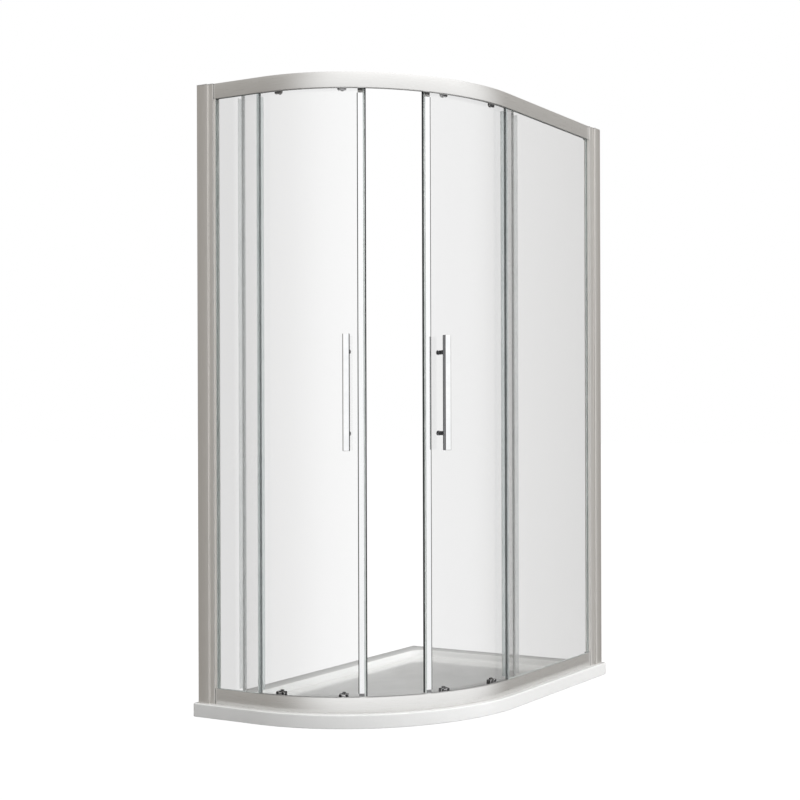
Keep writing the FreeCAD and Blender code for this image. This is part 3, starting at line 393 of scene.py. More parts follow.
class Surface:
    """A mesh put together from grids of points, with a UV map in metres and a mask for cut edges and painted
    reflection.
    """

    def __init__(self) -> None:
        """Starts with nothing in it."""
        self.points: list[Array] = []
        self.faces: list[list[int]] = []
        self.uvs: list[Array] = []
        self.cut: list[Array] = []
        self.count = 0

    def tube(self, rings: Array, caps: bool = True, closed: bool = False, cut: Array | None = None) -> "Surface":
        """Adds rings of points joined into a tube: face (i, j) joins ring i to ring i + 1.

        Args:
            rings: Points in millimetres, (rings, points, 3).
            caps: True to close both ends with a face.
            closed: True to join the last ring to the first.
            cut: True for each column of faces that is a cut edge or carries a painted reflection, or None.

        Returns:
            The surface itself.
        """
        m, n = rings.shape[:2]
        i = np.arange(m if closed else m - 1)[:, None]
        j = np.arange(n)[None, :]
        nxt, right = (i + 1) % m, (j + 1) % n
        quads = np.stack([i * n + j, nxt * n + j, nxt * n + right, i * n + right], axis=2).reshape(-1, 4)
        self.faces += (quads + self.count).tolist()
        along, around = (np.insert(np.cumsum(step), 0, 0.0) for step in (
            np.linalg.norm(np.roll(rings, -1, axis) - rings, axis=2).mean(1 - axis) for axis in (0, 1)))
        u0, u1, v0, v1 = np.broadcast_arrays(along[i], along[i + 1], around[j], around[j + 1])
        uv = np.stack([np.stack(p, axis=2) for p in ((u0, v0), (u1, v0), (u1, v1), (u0, v1))], axis=2)
        self.uvs.append(uv.reshape(-1, 2) * MM)
        columns = np.zeros(n) if cut is None else cut.astype(float)
        self.cut.append(np.broadcast_to(columns, (len(i), n)).ravel())
        if caps and not closed:
            for first in (0, (m - 1) * n):
                ring = rings.reshape(-1, 3)[first : first + n]
                self.faces.append((np.arange(n) + first + self.count).tolist())
                self.uvs.append(np.stack([ring[:, 0] + ring[:, 1], ring[:, 2]], axis=1) * MM)
                # End caps join the mask: cut edges on glass, faces with a painted dark reflection on the handle.
                self.cut.append(np.array([1.0]))
        self.points.append(rings.reshape(-1, 3) * MM)
        self.count += m * n
        return self

    def build(self, name: str, sharp: float) -> bpy.types.Object:
        """Makes the object, with faces outwards and edges sharper than an angle kept crisp.

        Args:
            name: Name of the piece.
            sharp: Angle in degrees above which an edge stays sharp.

        Returns:
            The new object, at the origin.
        """
        mesh = bpy.data.meshes.new(name)
        mesh.from_pydata(np.concatenate(self.points).tolist(), [], self.faces)
        layer = mesh.uv_layers.new(name="UVMap")
        layer.data.foreach_set("uv", np.concatenate(self.uvs).astype(np.float32).ravel())
        # Mask of cut edges; on the handle bar it marks the faces painted with a dark reflection.
        mask = mesh.attributes.new("cut_edge_and_painted_reflection", "FLOAT", "FACE")
        mask.data.foreach_set("value", np.concatenate(self.cut).astype(np.float32))
        work = bmesh.new()
        work.from_mesh(mesh)
        bmesh.ops.remove_doubles(work, verts=work.verts, dist=WELD)
        bmesh.ops.recalc_face_normals(work, faces=work.faces)
        work.to_mesh(mesh)
        work.free()
        mesh.shade_smooth()
        mesh.set_sharp_from_angle(angle=math.radians(sharp))
        piece = bpy.data.objects.new(name, mesh)
        bpy.context.scene.collection.objects.link(piece)
        return piece


# -------------------------------- shader building


class Nodes:
    """Thin helper around one node tree: a socket or node given as an input is linked, a value is set."""

    def __init__(self, tree: bpy.types.NodeTree) -> None:
        """Takes the tree and empties it."""
        self.tree = tree
        tree.nodes.clear()

    def add(self, kind: str, inputs: dict | None = None, **values: object) -> bpy.types.Node:
        """Adds a node.

        Args:
            kind: Blender's type name of the node.
            inputs: What feeds each input, by the input's name or place.
            **values: Properties of the node.

        Returns:
            The node.
        """
        node = self.tree.nodes.new(kind)
        for name, value in values.items():
            setattr(node, name, value)
        for key, value in (inputs or {}).items():
            value = value.outputs[0] if isinstance(value, bpy.types.Node) else value
            if isinstance(value, Socket):
                self.tree.links.new(value, node.inputs[key])
            else:
                node.inputs[key].default_value = value
        return node

    def math(self, operation: str, *given: Socket | float) -> Socket:
        """Result of a Math node."""
        return self.add("ShaderNodeMath", dict(enumerate(given)), operation=operation).outputs[0]

    def ranged(self, value: Socket, source: Pair, target: Pair = (0.0, 1.0), kind: str = "SMOOTHSTEP") -> Socket:
        """Value mapped from one range to another, by a smooth step unless told otherwise."""
        limits = dict(zip(("From Min", "From Max", "To Min", "To Max"), source + target))
        return self.add("ShaderNodeMapRange", {"Value": value, **limits}, interpolation_type=kind).outputs[0]

    def mixed(self, share: Socket | float, a: Socket | Colour, b: Socket | Colour, blend: str = "MIX") -> Socket:
        """Two colours joined by a blend mode."""
        a, b = (each if isinstance(each, Socket) else (*each, 1) for each in (a, b))
        return self.add("ShaderNodeMix", {0: share, 6: a, 7: b}, data_type="RGBA", blend_type=blend).outputs[2]

    def path(self, *labels: str) -> Socket:
        """One output of the Light Path node, or the larger of two."""
        path = self.add("ShaderNodeLightPath")
        return self.math("MAXIMUM", *map(path.outputs.get, labels)) if labels[1:] else path.outputs[labels[0]]

    def cut_edge_and_reflection_mask(self) -> Socket:
        """Mask of the faces that are cut edges, and on the handle of the faces with a painted reflection."""
        return self.add("ShaderNodeAttribute", attribute_name="cut_edge_and_painted_reflection").outputs["Fac"]


def effect_group(name: str, inputs: dict[str, float]) -> tuple[Nodes, bpy.types.bpy_prop_collection]:
    """Starts an effect's node group, with float inputs and the outputs Mask and Normal.

    Args:
        name: Name of the group.
        inputs: Default value of each input.

    Returns:
        The helper of the group's tree, and the sockets that carry its inputs.
    """
    tree = bpy.data.node_groups.new(name, "ShaderNodeTree")
    for label, value in inputs.items():
        tree.interface.new_socket(label, in_out="INPUT", socket_type="NodeSocketFloat").default_value = value
    for label, kind in (("Mask", "NodeSocketFloat"), ("Normal", "NodeSocketVector")):
        tree.interface.new_socket(label, in_out="OUTPUT", socket_type=kind)
    n = Nodes(tree)
    return n, n.add("NodeGroupInput").outputs


def finished_group(n: Nodes, mask: Socket, relief: dict) -> bpy.types.NodeTree:
    """Ends an effect's node group with its mask, and a bump made from the relief's settings."""
    n.add("NodeGroupOutput", {"Mask": mask, "Normal": n.add("ShaderNodeBump", relief)})
    return n.tree


def mottle_group() -> bpy.types.NodeTree:
    """Soft mottling of two noises on Object coordinates: a mask from 0 to 1 and a bump normal.

    Returns:
        The group's tree.
    """
    n, given = effect_group("surface_mottle", {"Scale": 40.0, "Fine Scale": 900.0, "Bump": 0.05})
    place = n.add("ShaderNodeTexCoord").outputs["Object"]
    broad, fine = (
        n.add("ShaderNodeTexNoise", {"Vector": place, "Scale": given[scale], "Detail": detail, "Roughness": rough})
        for scale, detail, rough in (("Scale", 3.0, 0.55), ("Fine Scale", 2.0, 0.5)))
    blend = n.add("ShaderNodeMix", {0: 0.35, 2: broad, 3: fine}, data_type="FLOAT").outputs[0]
    return finished_group(n, blend, {"Strength": given["Bump"], "Distance": 0.0004, "Height": fine})


def drawn_group() -> bpy.types.NodeTree:
    """Die lines of an extrusion, along U of the UV map: noise stretched a hundredfold lengthwise.

    Returns:
        The group's tree.
    """
    n, given = effect_group("drawn_lines", {"Lines": 1500.0, "Bump": 0.08})
    split = n.add("ShaderNodeSeparateXYZ", {0: n.add("ShaderNodeUVMap", uv_map="UVMap")}).outputs
    place = n.add("ShaderNodeCombineXYZ", {0: n.math("MULTIPLY", split[0], 0.01), 1: split[1]})
    lines = n.add("ShaderNodeTexNoise", {
        "Vector": place, "Scale": given["Lines"], "Detail": 4.0, "Roughness": 0.7})
    return finished_group(n, lines.outputs[0], {"Strength": given["Bump"], "Distance": 0.0002, "Height": lines})


class Effect(Enum):
    """Shared effects that a finish can use."""

    MOTTLE = "surface_mottle"
    DRAWN = "drawn_lines"


EFFECTS = {Effect.MOTTLE: mottle_group(), Effect.DRAWN: drawn_group()}
Pattern = tuple[Effect, dict[str, float]]


def mottled(scale: float, fine: float, bump: float) -> Pattern:
    """The mottling effect with its settings."""
    return Effect.MOTTLE, {"Scale": scale, "Fine Scale": fine, "Bump": bump}


def drawn(lines: float, bump: float) -> Pattern:
    """The effect of die lines with its settings."""
    return Effect.DRAWN, {"Lines": lines, "Bump": bump}


class Look:
    """What both kinds of finish share: a material made once, under the finish's name."""

    def material(self) -> bpy.types.Material:
        """Builds the material once and returns it after that.

        Returns:
            The material.
        """
        made = bpy.data.materials.get(self.name)
        if made is None:
            made = bpy.data.materials.new(self.name)
            made.use_nodes = True
            n = Nodes(made.node_tree)
            n.add("ShaderNodeOutputMaterial", {0: self.shader(n)})
        return made


@dataclass(frozen=True)
class Finish(Look):
    """An opaque or milky finish: two tones mixed by an effect's mask, with roughness that follows it, and a
    painted reflection colour on masked faces if one is given.
    """

    name: str
    dark: Colour
    light: Colour
    rough: Pair
    pattern: Pattern
    metallic: float = 0.0
    coat: float = 0.0
    coat_roughness: float = 0.06
    specular: float = 0.5
    transmission: float = 0.0
    ior: float = 1.48
    painted_reflection: Colour | None = None
    contrast: Pair = (0.32, 0.68)

    def shader(self, n: Nodes) -> bpy.types.Node:
        """Builds the finish's shader.

        Args:
            n: Helper of the material's tree.

        Returns:
            The shader's node.
        """
        effect, settings = self.pattern
        shown = n.add("ShaderNodeGroup", settings, node_tree=EFFECTS[effect]).outputs
        share = n.ranged(shown["Mask"], self.contrast)
        tone = n.mixed(share, self.dark, self.light)
        # Masked faces take a flat dark colour: a painted reflection, not the metal's own tone.
        if self.painted_reflection is not None:
            tone = n.mixed(n.cut_edge_and_reflection_mask(), tone, self.painted_reflection)
        return n.add("ShaderNodeBsdfPrincipled", {
            "Base Color": tone, "Roughness": n.ranged(share, (0.0, 1.0), self.rough, "LINEAR"),
            "Normal": shown["Normal"], "Metallic": self.metallic, "Coat Weight": self.coat,
            "Coat Roughness": self.coat_roughness, "Specular IOR Level": self.specular,
            "Transmission Weight": self.transmission, "IOR": self.ior})


@dataclass(frozen=True)
class ClearFinish(Look):
    """Glass: a clear body that runs from one grey to another, darker cut edges, and open to light.

    The greys change over a reach in metres, along U of the UV map or along an axis of the object.
    The glass's tint carries painted shading: the run from one grey to the other makes a pane lighter at one end
    and darker at the other.
    """

    name: str
    body: float
    far_tint_and_shade: float
    edge: Colour
    reach: Pair = (0.0, 0.41)
    axis: int | None = None
    ior: float = 1.5
    open_colour: Colour = (0.95, 0.96, 0.958)
    wander: float = 0.12

    def shader(self, n: Nodes) -> bpy.types.Node:
        """Builds the finish's shader.

        Args:
            n: Helper of the material's tree.

        Returns:
            The shader's node.
        """
        effect = n.add("ShaderNodeGroup", {"Scale": 3.0, "Fine Scale": 40.0}, node_tree=EFFECTS[Effect.MOTTLE])
        if self.axis is None:
            where = n.add("ShaderNodeUVMap", uv_map="UVMap").outputs[0]
        else:
            where = n.add("ShaderNodeTexCoord").outputs["Object"]
        split = n.add("ShaderNodeSeparateXYZ", {0: where})
        # Painted shading: the grey runs from one value to the other along the pane.
        across = n.ranged(split.outputs[self.axis or 0], self.reach, kind="LINEAR")
        share = n.math("MULTIPLY_ADD", effect.outputs["Mask"], self.wander, across)
        tone = n.mixed(share, (self.body,) * 3, (self.far_tint_and_shade,) * 3)
        tone = n.mixed(n.cut_edge_and_reflection_mask(), tone, self.edge)
        clear = n.add("ShaderNodeBsdfPrincipled", {
            "Base Color": tone, "Transmission Weight": 1.0, "IOR": self.ior, "Roughness": 0.0})
        opened = n.add("ShaderNodeBsdfTransparent", {0: (*self.open_colour, 1)})
        return n.add("ShaderNodeMixShader", {0: n.path("Is Shadow Ray", "Is Diffuse Ray"), 1: clear, 2: opened})


BRIGHT = (0.86, 0.87, 0.88), (0.93, 0.935, 0.94)
DOOR_EDGE = (0.74, 0.79, 0.78)
SATIN_RAIL = Finish(
    "satin_aluminium_rail", (0.735, 0.73, 0.715), (0.795, 0.79, 0.78), (0.27, 0.34),
    drawn(1500.0, 0.03), metallic=1.0)
SATIN_POST = Finish(
    "satin_aluminium_post", (0.70, 0.685, 0.66), (0.77, 0.755, 0.735), (0.30, 0.38),
    drawn(1500.0, 0.03), metallic=1.0)
CHROME = Finish("polished_chrome", *BRIGHT, (0.045, 0.085), mottled(30.0, 500.0, 0.0), metallic=1.0)
CHROME_STRIP = Finish("polished_chrome_strip", *BRIGHT, (0.07, 0.11), drawn(900.0, 0.01), metallic=1.0)
# Chrome bar whose sides, ends and standoffs get a painted dark reflection colour.
CHROME_BAR = Finish(
    "polished_chrome_bar", *BRIGHT, (0.045, 0.085),
    mottled(30.0, 500.0, 0.0), metallic=1.0, painted_reflection=(0.2, 0.2, 0.205))
STONE = Finish(
    "stone_resin_gel_coat", (0.865, 0.868, 0.862), (0.895, 0.897, 0.893), (0.16, 0.24),
    mottled(9.0, 260.0, 0.02), coat=0.35)
BLACK_PLASTIC = Finish(
    "black_moulded_plastic", (0.012, 0.012, 0.013), (0.03, 0.03, 0.031), (0.38, 0.52),
    mottled(120.0, 2600.0, 0.25))
BLACK_SEAL = Finish(
    "black_magnet_strip", (0.013, 0.014, 0.016), (0.026, 0.027, 0.03), (0.3, 0.42), drawn(700.0, 0.08))
RUBBER = Finish(
    "black_glazing_rubber", (0.014, 0.014, 0.014), (0.03, 0.03, 0.03), (0.55, 0.7), mottled(90.0, 2000.0, 0.2))
NYLON = Finish(
    "wheel_nylon", (0.055, 0.055, 0.056), (0.09, 0.09, 0.092), (0.3, 0.42), mottled(140.0, 2400.0, 0.12))
ZINC = Finish(
    "zinc_screw", (0.62, 0.63, 0.65), (0.76, 0.77, 0.78), (0.22, 0.36),
    mottled(260.0, 3000.0, 0.15), metallic=1.0)
GREY_PLASTIC = Finish(
    "grey_moulded_plastic", (0.19, 0.19, 0.195), (0.27, 0.27, 0.275), (0.35, 0.48), mottled(150.0, 2600.0, 0.2))
PALE_CAP = Finish(
    "satin_cap_plastic", (0.52, 0.515, 0.50), (0.60, 0.595, 0.58), (0.32, 0.44), mottled(120.0, 2600.0, 0.15))
SEAL = Finish(
    "translucent_vinyl_seal", (0.72, 0.76, 0.76), (0.80, 0.83, 0.83), (0.12, 0.2),
    mottled(14.0, 900.0, 0.03), transmission=0.86, ior=1.2)
MILKY_SEAL = Finish(
    "milky_vinyl_seal", (0.85, 0.865, 0.865), (0.91, 0.92, 0.92), (0.14, 0.22),
    mottled(14.0, 900.0, 0.03), transmission=0.78, ior=1.12)
GASKET = Finish(
    "translucent_glazing_gasket", (0.76, 0.81, 0.79), (0.86, 0.90, 0.88), (0.16, 0.28),
    mottled(20.0, 1200.0, 0.05), transmission=0.28, ior=1.2)
GROUND_EDGE = Finish(
    "ground_glass_edge", (0.004, 0.008, 0.009), (0.012, 0.02, 0.021), (0.3, 0.45),
    drawn(400.0, 0.05), specular=0.3)
# Each pane's two greys are its tint with painted shading on top: doors darker back from the leading edge, fixed
# panes lighter towards the free edge where a door overlaps them.
DOOR_GLASS = {Side.LEFT: ClearFinish("door_safety_glass_left", 0.955, 0.815, DOOR_EDGE),
              Side.RIGHT: ClearFinish("door_safety_glass_right", 0.865, 0.82, DOOR_EDGE)}
FIXED_GLASS = {
    Side.LEFT: ClearFinish("fixed_safety_glass_left", 0.755, 0.97, (0.012, 0.025, 0.025), (-0.265, -0.205), 0),
    Side.RIGHT: ClearFinish("fixed_safety_glass_right", 0.79, 0.855, (0.02, 0.03, 0.035), (0.55, 0.0), 1)}


def dress(finish: Look, *nodes: str) -> None:
    """Gives CAD nodes that stay in view their finish.

    Args:
        finish: The finish.
        *nodes: Names of the nodes.
    """
    for node in nodes:
        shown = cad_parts[node]
        if not shown.material_slots:
            shown.data.materials.append(finish.material())
        for each in shown.material_slots:
            each.link = "OBJECT"
            each.material = finish.material()
        log.info("node %s wears %s", node, finish.name)


def place(surface: Surface, name: str, finish: Look, body: str, slot: str, *nodes: str,
          sharp: float = PLAIN_SHARP) -> None:
    """Makes a piece, finishes it, lets it ride on a body and stand for CAD nodes.

    Args:
        surface: The piece's surface.
        name: Its name.
        finish: Its finish.
        body: CAD body that it moves with.
        slot: Material slot of the record; not used.
        *nodes: CAD nodes that it stands for.
        sharp: Angle in degrees above which its edges stay sharp.
    """
    piece = surface.build(name, sharp)
    piece.data.materials.append(finish.material())
    if nodes:
        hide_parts(*nodes)
    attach(piece, body)
    log.info("piece %s rides on %s, %d faces", piece.name, body, len(piece.data.polygons))


# -------------------------------- tray


@dataclass
class ShowerTray:
    """Low tray with one large rounded corner, raised rim and sunk floor that falls to the waste."""

    small_radius: float = 8.0
    foot_bevel: float = 1.2
    edge_round: float = 4.0
    edge_step: int = 15
    rim: float = 60.0
    bowl_corner: float = 60.0
    least_corner: float = 2.0
    slope: tuple[Pair, ...] = ((57.5, 40.0), (60.0, 39.55), (63.0, 37.0), (70.0, 24.0), (77.0, 19.2), (84.0, 18.0))
    slope_rings: int = 26
    smoothing: tuple[int, ...] = (1, 2, 3, 2, 1)
    fall: float = 3.0
    floor_rings: int = 30
    waste_radius: float = 45.0
    waste: Pair = (105.0, -305.0)
    waste_edge: tuple[Pair, ...] = ((1.0, 15.0), (0.3, 14.8), (0.0, 14.1), (0.0, 0.0))
    corner_steps: int = 14
    bend_steps: int = 120
    straight_steps: int = 40

    def outline(self, inset: float, corner: float) -> Array:
        """Tray outline set in by a distance, always with the same number of points.

        Four straight edges, three small quarter circles and the bend, in that order round.

        Args:
            inset: Distance in from the outside.
            corner: Radius of the small corners.

        Returns:
            Points in plan, (n, 2).
        """
        x, y = LAYOUT.tray_width / 2 - inset - corner, LAYOUT.tray_length / 2 - inset - corner
        curves = []
        for origin, radius, start, steps in (
                (LAYOUT.centre, LAYOUT.corner_radius - inset, -90.0, self.bend_steps),
                ((x, y), corner, 0.0, self.corner_steps), ((-x, y), corner, 90.0, self.corner_steps),
                ((-x, -y), corner, 180.0, self.corner_steps)):
            turn = np.radians(start + 90.0 * np.linspace(0, 1, steps + 1))
            curves.append(np.array(origin) + radius * spokes(turn))
        u = np.linspace(0, 1, self.straight_steps, endpoint=False)[:, None]
        pieces = []
        for arc, following in zip(curves, curves[1:] + curves[:1]):
            pieces += [arc[:-1], arc[-1] + (following[0] - arc[-1]) * u]
        return np.concatenate(pieces)

    def profile(self) -> list[tuple[float, float, float]]:
        """Rings from the underside's edge over the rim to the floor's edge.

        The edge is a quarter circle, and the slope a line through its knots, smoothed by a moving mean.

        Returns:
            Inset, radius of the small corners and height of each ring.
        """
        h, r, c, foot = LAYOUT.tray_height, self.edge_round, self.small_radius, self.foot_bevel
        rings = [(foot, c - foot, 0.0), (0.0, c, foot), (0.0, c, h - r)]
        for a in np.radians(np.arange(self.edge_step, 91, self.edge_step)):
            d = r * (1 - math.cos(a))
            rings.append((d, c - d, h - r + r * math.sin(a)))
        knots = np.array(self.slope)
        places = np.arange(len(knots))
        u = np.linspace(0, len(knots) - 1, self.slope_rings)
        ramp, fall = np.interp(u, places, knots[:, 0]), np.interp(u, places, knots[:, 1])
        weights = np.array(self.smoothing) / sum(self.smoothing)
        soft = np.convolve(np.pad(fall, len(weights) // 2, mode="edge"), weights, mode="valid")
        soft[0], soft[-1] = fall[0], fall[-1]
        corner = np.maximum(self.least_corner, self.bowl_corner - (ramp - self.rim))
        return rings + list(zip(ramp, corner, soft))

    def build(self) -> None:
        """Tray surface: rings of the outline, then rings that shrink on to the waste and go down through it."""
        rows = [(self.outline(inset, corner), z) for inset, corner, z in self.profile()]
        edge, floor = rows[-1]
        centre = np.array(self.waste)
        towards = edge - centre
        hole = towards / np.linalg.norm(towards, axis=1, keepdims=True) * self.waste_radius
        for u in np.linspace(0, 1, self.floor_rings)[1:-1]:
            rows.append((edge + (centre + hole - edge) * u, floor - self.fall * u))
        for grow, z in self.waste_edge:
            rows.append((centre + hole * (1 + grow / self.waste_radius), z))
        rings = np.stack([np.column_stack([flat, np.full(len(flat), z)]) for flat, z in rows])
        place(Surface().tube(rings, caps=False, closed=True), "tray_shell", STONE, "frame", "stone_resin",
              "shower_tray", sharp=TRAY_SHARP)


# -------------------------------- frame


@dataclass
class SlidingFrame:
    """Rails, wall profiles, side posts and the small trim that holds the fixed glass."""

    section: tuple[Pair, ...] = (
        (0, 0), (0, 45), (4.5, 45), (4.5, 43), (1.8, 43), (1.8, 28.5), (13.5, 28.5), (13.5, 45), (15, 45),
        (15, 34.8), (25, 34.8), (25, 30), (23.6, 30), (23.6, 33), (15, 33), (15, 1.8), (25, 1.8), (25, 0))
    infill: tuple[Pair, ...] = (
        (2, 41), (2, 42.8), (4.7, 42.8), (4.7, 45.5), (13.3, 45.5), (13.3, 42), (4.7, 42), (4.7, 41))
    wall_section: tuple[Pair, ...] = (
        (0, -9), (40, -9), (40, -4.3), (37, -4.3), (37, -7), (2, -7), (2, 25), (37, 25),
        (37, 22.3), (40, 22.3), (40, 27), (0, 27))
    ease: float = 0.45
    infill_ease: float = 0.3
    infill_past_glass: float = 1.7
    infill_end: float = -0.187
    cap: float = 2.0
    upright_soft: Soft = Soft(0.45, 2, 0.3)
    post_t: Pair = (-4.0, 22.0)
    post_wall: float = 1.6
    post_lip: float = 4.0
    glazing_lips: tuple[Pair, ...] = ((5.0, 2.4), (11.0, 13.8))
    glazing_wall: float = 1.8
    glazing_sunk: float = 0.2
    glazing_soft: Soft = Soft(0.45, 2, 0.2)
    pane_z: Pair = (70.5, 1859.5)
    pane_gap: float = 0.5
    pane_soft: Soft = Soft(LAYOUT.arris, 1, 0.5)
    face_margin: float = 0.05
    ground_film: Pair = (0.03, 0.12)
    ground_margin: float = 0.2
    ground_z: Pair = (70.9, 1859.1)
    ground_soft: Soft = Soft(0.0, 0, 0.02)
    clip_reach: float = 9.0
    clip_web: Pair = (1.5, 0.15)
    clip_t: Pair = (4.8, 13.2)
    clip_wall: float = 1.05
    clip_z: Pair = (85.8, 1844.2)
    clip_soft: Soft = Soft(0.4, 2, 0.3)
    fin_t: Pair = (13.1, 25.0)
    fin_z: Pair = (93.8, 1836.2)
    fin_soft: Soft = Soft(0.5, 2, 0.3)

    def strip(self, name: str, node: str, section: tuple[Pair, ...], part: Part, ease: float,
              run: Stations) -> None:
        """A horizontal extrusion of the frame: the lower one stands upright, the upper one is turned over.

        Args:
            name: Name of the piece.
            node: CAD node that it stands for.
            section: Section as (t, rise) points.
            part: Which half of the frame it belongs to.
            ease: Size of its eased corners.
            run: Path that it is carried along.
        """
        points = np.array(section, float)
        rise = points[:, 1]
        points[:, 1] = LAYOUT.base_z + rise if part is Part.LOWER else LAYOUT.top_z - rise
        place(Surface().tube(carried(eased(points, ease, 2), run)), name + part.value, SATIN_RAIL, "frame",
              "satin_aluminium", node)

    def rails(self) -> None:
        """Both rails, carried along the two legs and the bend, and the strips that close their slots."""
        left, right = LEGS[Side.LEFT], LEGS[Side.RIGHT]
        whole = left.stations(left.rail_start, left.arc_start).then(bend(-90.0, 0.0))
        whole = whole.then(right.stations(right.arc_start, right.rail_start))
        slot = left.stations(left.glass_end + self.infill_past_glass, left.arc_start)
        slot = slot.then(bend(-90.0, self.infill_end))
        for part, place_name in ((Part.LOWER, "bottom_"), (Part.UPPER, "top_")):
            self.strip("rail_", place_name + "rail", self.section, part, self.ease, whole)
            self.strip("slot_strip_", place_name + "infill_strip", self.infill, part, self.infill_ease, slot)

    def uprights(self, leg: Leg) -> None:
        """Wall profile and side post of one leg, as prisms over their real sections.

        Args:
            leg: The leg.
        """
        z_range = LAYOUT.base_z, LAYOUT.top_z - self.cap
        leg.trim("wall_channel_", SATIN_POST, "satin_aluminium", "wall_profile_",
                 (np.array(self.wall_section, float), z_range, self.upright_soft))
        a, b, w, lip = leg.pull_out, leg.post_end, self.post_wall, self.post_lip
        t0, t1 = self.post_t
        post = np.array([(a, t0), (b, t0), (b, t1), (a, t1), (a, t1 - lip), (a + w, t1 - lip), (a + w, t1 - w),
                         (b - w, t1 - w), (b - w, t0 + w), (a + w, t0 + w), (a + w, t0 + lip), (a, t0 + lip)])
        past_rail = LAYOUT.rail_height + LAYOUT.rail_gap
        lips_z = LAYOUT.base_z + past_rail, LAYOUT.top_z - past_rail
        lips = [(box(b - self.glazing_sunk, t, b + reach, t + self.glazing_wall), lips_z, self.glazing_soft)
                for reach, t in self.glazing_lips]
        leg.trim("post_", SATIN_POST, "satin_aluminium", "side_post_", (post, z_range, self.upright_soft), *lips)

    def fixed_pane(self, leg: Leg) -> None:
        """Fixed glass of one leg with ground edges, and the seal on its free edge.

        Args:
            leg: The leg.
        """
        end, t0 = leg.glass_end, LAYOUT.fixed_face
        t1 = t0 + LAYOUT.glass
        corners = box(leg.rail_start + self.pane_gap, t0, end, t1)
        across = eased(corners, self.pane_soft.ease, self.pane_soft.steps)[:, 1]
        middle = (across + np.roll(across, -1)) / 2
        ground = np.abs(middle - (t0 + t1) / 2) < LAYOUT.glass / 2 - self.face_margin
        surface = Surface().tube(leg.prism(corners, self.pane_z, self.pane_soft), cut=ground)
        leg.place(surface, "fixed_pane_", FIXED_GLASS[leg.side], "clear_glass", "fixed_glass_", GLASS_SHARP)
        near, far = self.ground_film
        film = box(end + near, t0 + self.ground_margin, end + far, t1 - self.ground_margin)
        leg.trim("pane_ground_edge_", GROUND_EDGE, "clear_glass", "", (film, self.ground_z, self.ground_soft))
        web = end + self.clip_web[0], end + self.clip_web[1]
        clip = channel(web, end - self.clip_reach, self.clip_t, self.clip_wall)
        fin = box(end, self.fin_t[0], web[0], self.fin_t[1])
        leg.trim("pane_edge_seal_", SEAL, "clear_seal", "fixed_edge_seal_",
                 (clip, self.clip_z, self.clip_soft), (fin, self.fin_z, self.fin_soft))

    def build(self) -> None:
        """Every piece of the frame."""
        self.rails()
        for leg in LEGS.values():
            self.uprights(leg)
            self.fixed_pane(leg)
            dress(GASKET, "glazing_gaskets_" + leg.side.value)
        dress(BLACK_PLASTIC, "rail_corner_blocks")
        dress(ZINC, "rail_screws", "adjusting_screws")
        dress(PALE_CAP, "adjusting_screw_caps", "frame_top_caps")
        dress(RUBBER, "track_bump_stops")


# -------------------------------- doors


